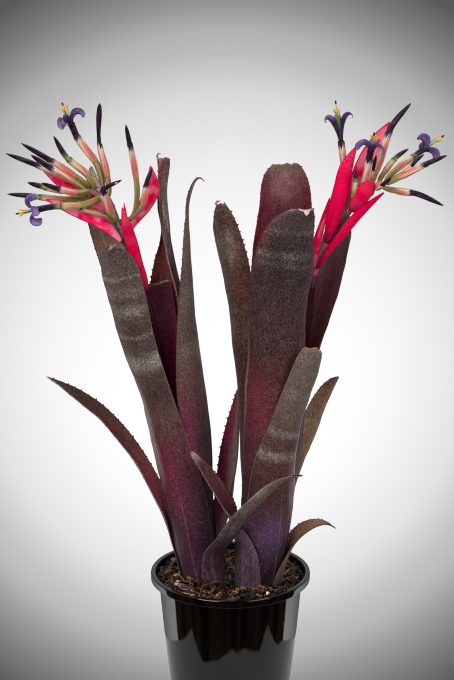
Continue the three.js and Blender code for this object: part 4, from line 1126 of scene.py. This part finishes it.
def pot_material():
    n = Look("black_plastic")
    here = n.place()
    x, y, z = n.split(here)
    cloud, fine = n.noise(here, 26, 4), n.noise(here, 900, 3)
    streak = n.noise(n.scaled(here, (1, 1, 0.06)), 240, 3)
    dust = n.noise(here, 420, 5, 0.7).span(0.6, 0.78)
    wall = z * TAPER + (POT["base"] - 0.9) * MM + z.span(0.1225, 0.1235, 0, 0.0028)
    inner = (wall - n.math("SQRT", x * x + y * y)).span(0, 0.0005)
    colour = n.over(n.mix(cloud.span(0.3, 0.7), srgb(4, 3, 3), srgb(8, 6, 5)), (dust * 0.1, 120, 112, 100),
                    (inner * cloud.span(0.3, 0.7, 0.3, 0.9), 18, 12, 9))
    n.bump(fine * 0.1 + streak, 0.14, 0.0006)
    return n.done(colour, dust * 0.12 + streak.span(0.3, 0.7, 0.03, 0.08) + inner * 0.5, 0.5)


def wall_at(z):
    """The outer radius of the pot's wall at height z."""
    return POT["base"] + TAPER * z


def make_pot():
    base, rim, height, wall, floor = (POT[k] for k in ("base", "rim", "height", "wall", "floor"))
    inner, low = POT["rim_inner"], height - POT["band"] + 1.2

    def arc(cx, cz, r, a0, a1, steps):
        return [[cx + r * math.cos(v), cz + r * math.sin(v)] for v in np.radians(np.linspace(a0, a1, steps))]

    outline = [[0, 0.6], [base - 8, 0.6], *arc(base - 8, 0.3, 0.3, 90, 0, 3), [base - 7.5, 0],
               *arc(base - 1.4, 1.4, 1.4, -90, 0, 6), *([wall_at(z), z] for z in np.linspace(3, low - 2.0, 16)),
               [wall_at(low - 0.6), low - 0.6], [wall_at(low - 0.25) + 0.05, low - 0.25],
               [wall_at(low) + 0.3, low],
               *arc(rim - 0.45, low + 0.45, 0.45, -90, 0, 4), [rim - 0.1, low + 4], [rim, height - 3],
               *arc(rim - 1.6, height - 1.6, 1.6, 0, 90, 8), *arc(inner + 1.3, height - 1.3, 1.3, 90, 180, 7),
               [inner, low + 1.4], [POT["body"] - wall, low - 2.7],
               *([wall_at(z) - wall, z] for z in np.linspace(low - 7.2, 6, 10)),
               *arc(base - wall - 1.5, floor + 1.5, 1.5, 0, -90, 5), [0, floor]]
    mesh = Mesh()
    lathe(mesh, outline, 144)
    shell = mesh.object("pot_body", [pot_material()])
    cutters = Mesh()
    b = np.arange(40) * FULL / 40
    for a in np.arange(DRAIN["count"]) * FULL / DRAIN["count"]:
        x = DRAIN["circle"] * math.cos(a) + DRAIN["radius"] * np.cos(b)
        y = DRAIN["circle"] * math.sin(a) + DRAIN["radius"] * np.sin(b)
        cutters.add([np.stack([x, y, np.full(40, z)], axis=1) for z in (-3.0, 6.0)], skin_faces(2, 40))
    cutter = cutters.object("cutter", [])
    cut = shell.modifiers.new("drain", "BOOLEAN")
    cut.operation, cut.solver, cut.object = "DIFFERENCE", "EXACT", cutter
    bpy.context.view_layer.update()
    solid = bpy.data.meshes.new_from_object(shell.evaluated_get(bpy.context.evaluated_depsgraph_get()))
    shell.modifiers.clear()
    shell.data = solid
    bpy.data.objects.remove(cutter)
    solid.set_sharp_from_angle(angle=math.radians(50))
    finish_piece(shell, "pot", "pot")


def bed_height(x, y):
    """The height of the mix at x, y."""
    crown, r = MIX["crown"], np.hypot(x, y)
    base = np.interp(r, [0, 40, 52, 61], [crown, crown - 0.6, crown - 0.8, MIX["edge"] - 0.6])
    base = base + np.interp(r, [42, 61], [0, 4.5]) * np.clip(np.abs(x) / 30 - 0.7, 0, 1)
    rough = 0.9 * wave(x / 17 + 0.3 * y / 9, 91, 4) + 0.8 * wave(y / 15 - 0.4 * x / 12, 92, 4)
    return base + 0.75 * rough - 0.6


def in_sheath(x, y, room=0.0):
    return any(math.hypot(x - a[0][0] * 1.02, y - a[0][1]) < 20 + room for a in AXES.values())


def chip_template():
    bm = bmesh.new()
    bmesh.ops.create_icosphere(bm, subdivisions=2, radius=1)
    co, faces = np.array([v.co[:] for v in bm.verts]), [tuple(v.index for v in f.verts) for f in bm.faces]
    bm.free()
    return co, faces


def turned(co, rng, flat=0.6):
    """co turned at random, mostly lying flat."""
    turns = rng.uniform(0, FULL), rng.normal(0, flat), rng.normal(0, flat)
    (cz, cx, cy), (sz, sx, sy) = np.cos(turns), np.sin(turns)
    m = np.array([[cz, -sz, 0], [sz, cz, 0], [0, 0, 1]]) @ np.array([[1, 0, 0], [0, cx, -sx], [0, sx, cx]])
    return co @ (m @ np.array([[cy, 0, sy], [0, 1, 0], [-sy, 0, cy]])).T


def bed_material():
    n = Look("dark_mix_with_painted_shade")
    here = n.place()
    lump, grit = n.noise(here, 220, 5, 0.65), n.noise(here, 900, 4, 0.7)
    # The mix's own dark colours, made darker still as painted shade from the pot's rim
    colour = n.ramp(lump, "0.3 3 2 1, 0.55 9 5 3, 0.7 26 14 8, 0.82 60 34 18")
    n.bump(grit * 0.5 + lump, 1.0, 0.0025)
    colour = n.over(colour, (grit.span(0.64, 0.78, 0, 0.5), 84, 52, 28))
    return n.done(colour, grit.span(0.2, 0.8, 0.7, 0.95), 0.25)


def bark_material():
    n = Look("bark")
    here = n.place()
    lines = n.noise(n.scaled(here, (1, 0.5, 1)), 520, 3)
    shade = n.attr("tone") + (n.noise(here, 120, 3) - 0.5) * 0.5
    # The bark's colours, kept darker than its own as painted shade from the pot's rim
    colour = n.ramp(shade, "0 8 4 3, 0.3 22 11 7, 0.5 48 25 14, 0.7 84 47 26, 0.88 136 84 48, 1 186 136 84")
    n.bump(lines, 0.8, 0.001)
    colour = n.over(colour, (lines.span(0.42, 0.56, 0, 0.85), 12, 6, 4))
    return n.done(colour, lines.span(0.2, 0.8, 0.55, 0.85), 0.3)


def stub_material():
    n = Look("leaf_stub")
    grain = n.noise(n.place(), 700, 3)
    colour = n.ramp(n.attr("along"), "0 60 40 48, 0.5 84 52 74, 0.72 120 96 100, 0.84 206 190 180, "
                                     "1 176 160 148")
    n.bump(grain, 0.6, 0.0008)
    colour = n.over(colour, (grain.span(0.4, 0.62, 0.6, 0), 62, 42, 44))
    return n.done(colour, grain.span(0.2, 0.8, 0.5, 0.7), 0.3)


def shred(mesh, rows, s, thick, seed, **values):
    """A short thick shred along rows of [x, y, z, width], ragged at its ends."""
    along = unit(np.gradient(rows[:, :3], axis=0))
    flat = unit(np.cross(along, [0, 0, 1.0]))
    up = np.cross(flat, along)
    a = np.arange(16) * FULL / 16
    wide = (rows[:, 3] / 2 * (1 + 0.14 * wave(s / 3, seed)))[:, None]
    tall = thick / 2 * (1 + 0.2 * wave(s / 2.4, seed + 1)) * np.clip(np.minimum(s, s[-1] - s) / 2 + 0.35, 0, 1)
    lift = tall[:, None] * np.sin(a) * (1 + 0.25 * np.sin(5 * a + seed))
    lift = lift + 0.22 * wide * (1 - np.cos(a) ** 2 * 2)
    ring = rows[:, None, :3] + flat[:, None] * (wide * np.cos(a))[..., None] + up[:, None] * lift[..., None]
    mesh.add(ring, skin_faces(len(rows), 16), along=np.repeat(s / s[-1], 16), **values)


def make_bed():
    inset = POT["wall"] + 0.45
    outline = [[r, bed_height] for r in np.linspace(0, 61.3, 70)]
    outline += [[wall_at(z) - inset, z] for z in (105, 60, 20, MIX["bottom"])] + [[0, MIX["bottom"]]]
    mesh = Mesh()
    lathe(mesh, outline, 150, down=True)
    mesh.piece("potting_mix_bed", [bed_material()], "mix", "potting_mix")


def add_chips(mesh, rng, template, chip_faces):
    """Chips over the bed, the last of them on the ledge under the rim."""
    placed = 0
    while placed < CHIPS:
        ledge = placed > LOOSE_CHIPS
        r, b = rng.uniform(59, 63.5) if ledge else 62 * math.sqrt(rng.uniform()), rng.uniform(0, FULL)
        x, y = r * math.cos(b), r * math.sin(b)
        if in_sheath(x, y, -3) or ledge and abs(x) < 44:
            continue
        size = rng.uniform(0.9, 2.2) if rng.uniform() < 0.7 or ledge else rng.uniform(2.2, 3.6)
        if r + size > (64.5 if ledge else 61.5):
            continue
        box = size * np.array([rng.uniform(1.2, 2.4), rng.uniform(0.4, 0.9), rng.uniform(0.25, 0.5)])
        c = np.clip(template * 1.25, -rng.uniform(0.65, 0.9), rng.uniform(0.65, 0.9))
        c = turned(c * (1 + 0.16 * rng.standard_normal((len(c), 1))) * box, rng, 0.5)
        z = float(bed_height(x, y)) + rng.uniform(-0.2, 2.4)
        kind = rng.uniform()
        dark, pale = (0, 0.22) if kind < 0.5 else (0.3, 0.6) if kind < 0.84 else (0.7, 1.0)
        tone = rng.uniform(dark, pale)
        mesh.add(c + [x, y, z], chip_faces, tone=tone)
        placed += 1


def add_flakes(mesh, rng):
    """The larger husks and many small flakes."""
    flakes = []
    while len(flakes) < FLAKES:
        r, b = 58 * math.sqrt(rng.uniform(0.3, 1)), rng.uniform(0, FULL)
        x, y = r * math.cos(b), r * math.sin(b)
        if not in_sheath(x, y) and (y < -34 or rng.uniform() < 0.45):
            flakes.append((x, y, rng.uniform(0, 180), rng.uniform(5, 13), rng.uniform(2.4, 5.0),
                           rng.uniform(0.35, 1.0), rng.uniform(0, 3.4)))
    k = np.linspace(0, 1, 6)
    for x, y, way, reach, broad, tone, rise in table(HUSKS) + flakes:
        f = math.radians(way)
        bow = 0.08 * reach * np.sin(3.1 * k + x)
        px = x + reach * (k - 0.5) * math.cos(f) - bow * math.sin(f)
        py = y + reach * (k - 0.5) * math.sin(f) + bow * math.cos(f)
        pz = bed_height(px, py) + 2.6 + rise * k ** 2
        rows = np.stack([px, py, pz, 0.72 * broad * np.sin(0.45 + 2.2 * k)], axis=1)
        shred(mesh, *even(dense(rows, 10), 0.7), 2.2, int(abs(x) * 7 + abs(y)), tone=tone)


def add_fibres(mesh, rng):
    """Coir fibres that wander over the bed, some of them in loops."""
    placed = 0
    while placed < FIBRES:
        r, b = 61 * math.sqrt(rng.uniform(0.1, 1)), rng.uniform(0, FULL)
        x, y = r * math.cos(b), r * math.sin(b)
        if in_sheath(x, y) or y < -38 and rng.uniform() < 0.6:
            continue
        count = int(rng.integers(12, 36))
        heading, bend = rng.uniform(0, FULL), rng.normal(0, 0.26)
        rise = rng.uniform(0.3, 1.6) if rng.uniform() < 0.5 else rng.uniform(2, 7)
        line = []
        for _ in range(count):
            line.append([x, y])
            heading += bend + rng.normal(0, 0.16)
            x, y = x + 1.25 * math.cos(heading), y + 1.25 * math.sin(heading)
            if math.hypot(x, y) > 61 or in_sheath(x, y):
                break
        if len(line) < 7:
            continue
        line = np.array(line)
        z = bed_height(*line.T) + np.sin(np.linspace(0, math.pi, len(line))) * rise + 1.2
        tube(mesh, blur(np.column_stack([line, z]), 1.2, 1.0), rng.uniform(0.14, 0.34), 6)
        placed += 1


def add_perlite(mesh, rng, template, chip_faces):
    spots = table("5 -37 2.3, 32 -40 2, -1 -58 1.3, 18 -57 1.2, 44 -42 1.6, -34 -45 1.2, 10 44 1.8, -20 50 1.6")
    for _ in range(GRAINS):
        b = rng.uniform(0, FULL)
        r = 60 * math.sqrt(rng.uniform(0.2, 1))
        spots.append((r * math.cos(b), r * math.sin(b), rng.uniform(0.5, 1.3)))
    for i, (x, y, size) in enumerate(spots):
        if in_sheath(x, y) or math.hypot(x, y) + size > 61.5:
            continue
        c = template * (1 + 0.14 * rng.standard_normal((len(template), 1))) * size * rng.uniform(0.7, 1.1, 3)
        mesh.add(turned(c, rng, 1.0) + [x, y, float(bed_height(x, y)) + (2.8 if i < 6 else 1.2)], chip_faces)


def make_mix():
    make_bed()
    rng = np.random.default_rng(SEEDS["mix"])
    template = chip_template()
    bark, stub, coir, grains = Mesh(), Mesh(), Mesh(), Mesh()
    add_chips(bark, rng, *template)
    add_flakes(bark, rng)
    bark.piece("mix_bark", [bark_material()], "mix", smooth=False)
    rows = table("-31 -29.5 122.6 8, -37 -29 124.5 8.5, -43 -27 125.8 8, -48.5 -24 125.6 5")
    shred(stub, *even(dense(rows, 13), 0.6), 3.0, 6)
    stub.piece("mix_leaf_stub", [stub_material()], "mix")
    add_fibres(coir, rng)
    coir.piece("mix_coir", [plain_material("coir", (44, 22, 9), (186, 124, 62), 130, (0.55, 0.8))], "mix")
    add_perlite(grains, rng, *template)
    white = plain_material("perlite", (206, 198, 180), (248, 244, 232), 500, (0.6, 0.9))
    grains.piece("mix_perlite", [white], "mix")


def make_stem_bases():
    dry = plain_material("stem_tissue", (84, 66, 46), (140, 116, 84), 300, (0.6, 0.9))
    z = np.linspace(MIX["socket"] + MIX["gap"], 124, 24)
    radius = np.interp(z, [z[0], z[-1]], [11.3, 9.6]) + 0.35 * np.sin(z * 2.2)
    for side, axis in AXES.items():
        mesh = Mesh()
        tube(mesh, [[*axis[0][:2], level] for level in z], radius, 36)
        mesh.piece(side + "_stem_core", [dry], "stem_base", side + "_stem_base")


# ---------------------------------------------------------------- stage

def stage_material():
    """A pale floor that glows with a painted pool of light round the plant, which widens with the
    distance from the front and fades to grey at its rim. It is fixed to the floor."""
    n = Look("sweep")
    x, y, _ = n.split(n.node("NewGeometry", {}, "Position"))
    widen = n.math("MAXIMUM", y + 1.581, 0.02)
    side = (x + 0.003) * 1.033 / widen
    back = (y - 1.311) * 0.2586 / widen + 0.0018
    away = n.math("SQRT", side * side + back * back)
    painted_light_pool = n.ramp(away / 0.5, "0 1, 0.1 0.995, 0.16 0.965, 0.206 0.915, 0.264 0.8, 0.294 0.735, "
                              "0.34 0.54, 0.368 0.47, 0.4 0.32, 0.433 0.208, 0.474 0.105, "
                              "0.62 0.22, 0.85 0.5, 1 0.55")
    emit = n.node("Emission", {"Color": painted_light_pool, "Strength": 0.84})
    matt = n.node("BsdfDiffuse", {"Color": n.mix(0.84, painted_light_pool, (0, 0, 0, 1))})
    return n.surface(n.node("AddShader", {0: emit, 1: matt}))


def flat(name, outline, z, material):
    """A flat sheet at height z inside an outline of [degrees from the front, radius] rows."""
    a, r = np.array(outline, float).T
    a = np.radians(a)
    mesh = Mesh()
    co = np.stack([r * np.sin(a), -r * np.cos(a), np.full(len(a), float(z))], axis=1)
    mesh.add(co, [tuple(range(len(a)))])
    made = mesh.object(name, [material], smooth=False)
    material.cycles.emission_sampling = "NONE"
    return made


def area_light(name, place, size, power):
    data = bpy.data.lights.new(name, "AREA")
    data.shape, data.size, data.size_y, data.energy = "RECTANGLE", *size, power
    lamp = bpy.data.objects.new(name, data)
    bpy.context.scene.collection.objects.link(lamp)
    lamp.location = place
    lamp.rotation_euler = (Vector(AIM) - Vector(place)).to_track_quat("-Z", "Y").to_euler()


def make_world():
    """Soft light all round, and for glossy surfaces a room: a bright sweep in front, darker
    stripes behind it and a pale band above."""
    world = bpy.data.worlds.new("studio")
    bpy.context.scene.world = world
    world.use_nodes = True
    n = Nodes(world.node_tree)
    x, y, z = n.split(n.node("TexCoord", {}, "Generated"))
    level = n.math("MAXIMUM", n.math("SQRT", x * x + y * y), 0.001)
    facing = y / level
    ring = n.ramp(facing * 0.5 + 0.5, "0 0, 0.63 0, 0.652 0.86, 0.76 0.56, 0.885 0.22, 0.97 0.08, 1 0.04")
    bright = ring * z.span(-0.15, 0.1, 2.5, 0.0) + z.span(0.12, 0.34, 0.0, 0.6) * facing.span(-0.2, 0.3)
    stripes = n.noise(n.join(x / level, facing), 5.0, 3.0)
    dim = stripes.span(0.4, 0.6, 0.1, 1.0) * facing.span(0.2, 0.33, 1.0, 0.0)
    room = n.mix(dim, (0.0, 0.0, 0.0, 1), (0.1, 0.06, 0.035, 1))
    lit = n.mix(n.node("LightPath", {}, "Is Glossy Ray"), y.span(-0.6, 0.6, 0.35, 0.85),
                n.mix(1.0, room, bright, "ADD"))
    lit = n.mix(n.node("LightPath", {}, "Is Camera Ray"), lit, (0.45, 0.45, 0.45, 1))
    n.put(n.tree.nodes["Background"].inputs["Color"], lit)


def make_stage():
    floor = flat("floor", [[a, 14000] for a in range(0, 360, 5)], -0.2, stage_material())
    floor.visible_glossy = False
    # Only glossy surfaces see this glowing card: a painted reflection of a lit table in the pot's
    # wall, up to where the dark room begins
    n = Look("painted_table_reflection")
    card = flat("painted_table_reflection", table(TABLE_EDGE), 0.4, n.surface(n.node("Emission", {"Strength": 0.64})))
    card.visible_camera = card.visible_diffuse = card.visible_shadow = False
    card.visible_transmission = card.visible_volume_scatter = False
    make_world()
    area_light("key", (-0.9, -1.3, 1.5), (0.9, 0.9), 24)
    area_light("fill", (1.1, -1.2, 1.0), (1.0, 1.0), 12)
    area_light("top", (0.0, 0.5, 1.7), (1.2, 0.8), 14)


def make_camera():
    data = bpy.data.cameras.new("camera")
    data.lens, data.sensor_width, data.sensor_fit = 90, 36, "AUTO"
    data.clip_start, data.clip_end = 0.05, 60
    camera = bpy.data.objects.new("camera", data)
    bpy.context.scene.collection.objects.link(camera)
    camera.location = (-0.003, -1.4, 0.701)
    camera.rotation_euler = (math.radians(75.5), 0, 0)
    bpy.context.scene.camera = camera


bpy.context.scene.view_settings.view_transform = "Standard"
bpy.context.scene.cycles.filter_width = 1.1
make_pot()
make_mix()
make_stem_bases()
make_scapes()
make_leaves()
make_bracts()
make_flowers()
make_stage()
make_camera()
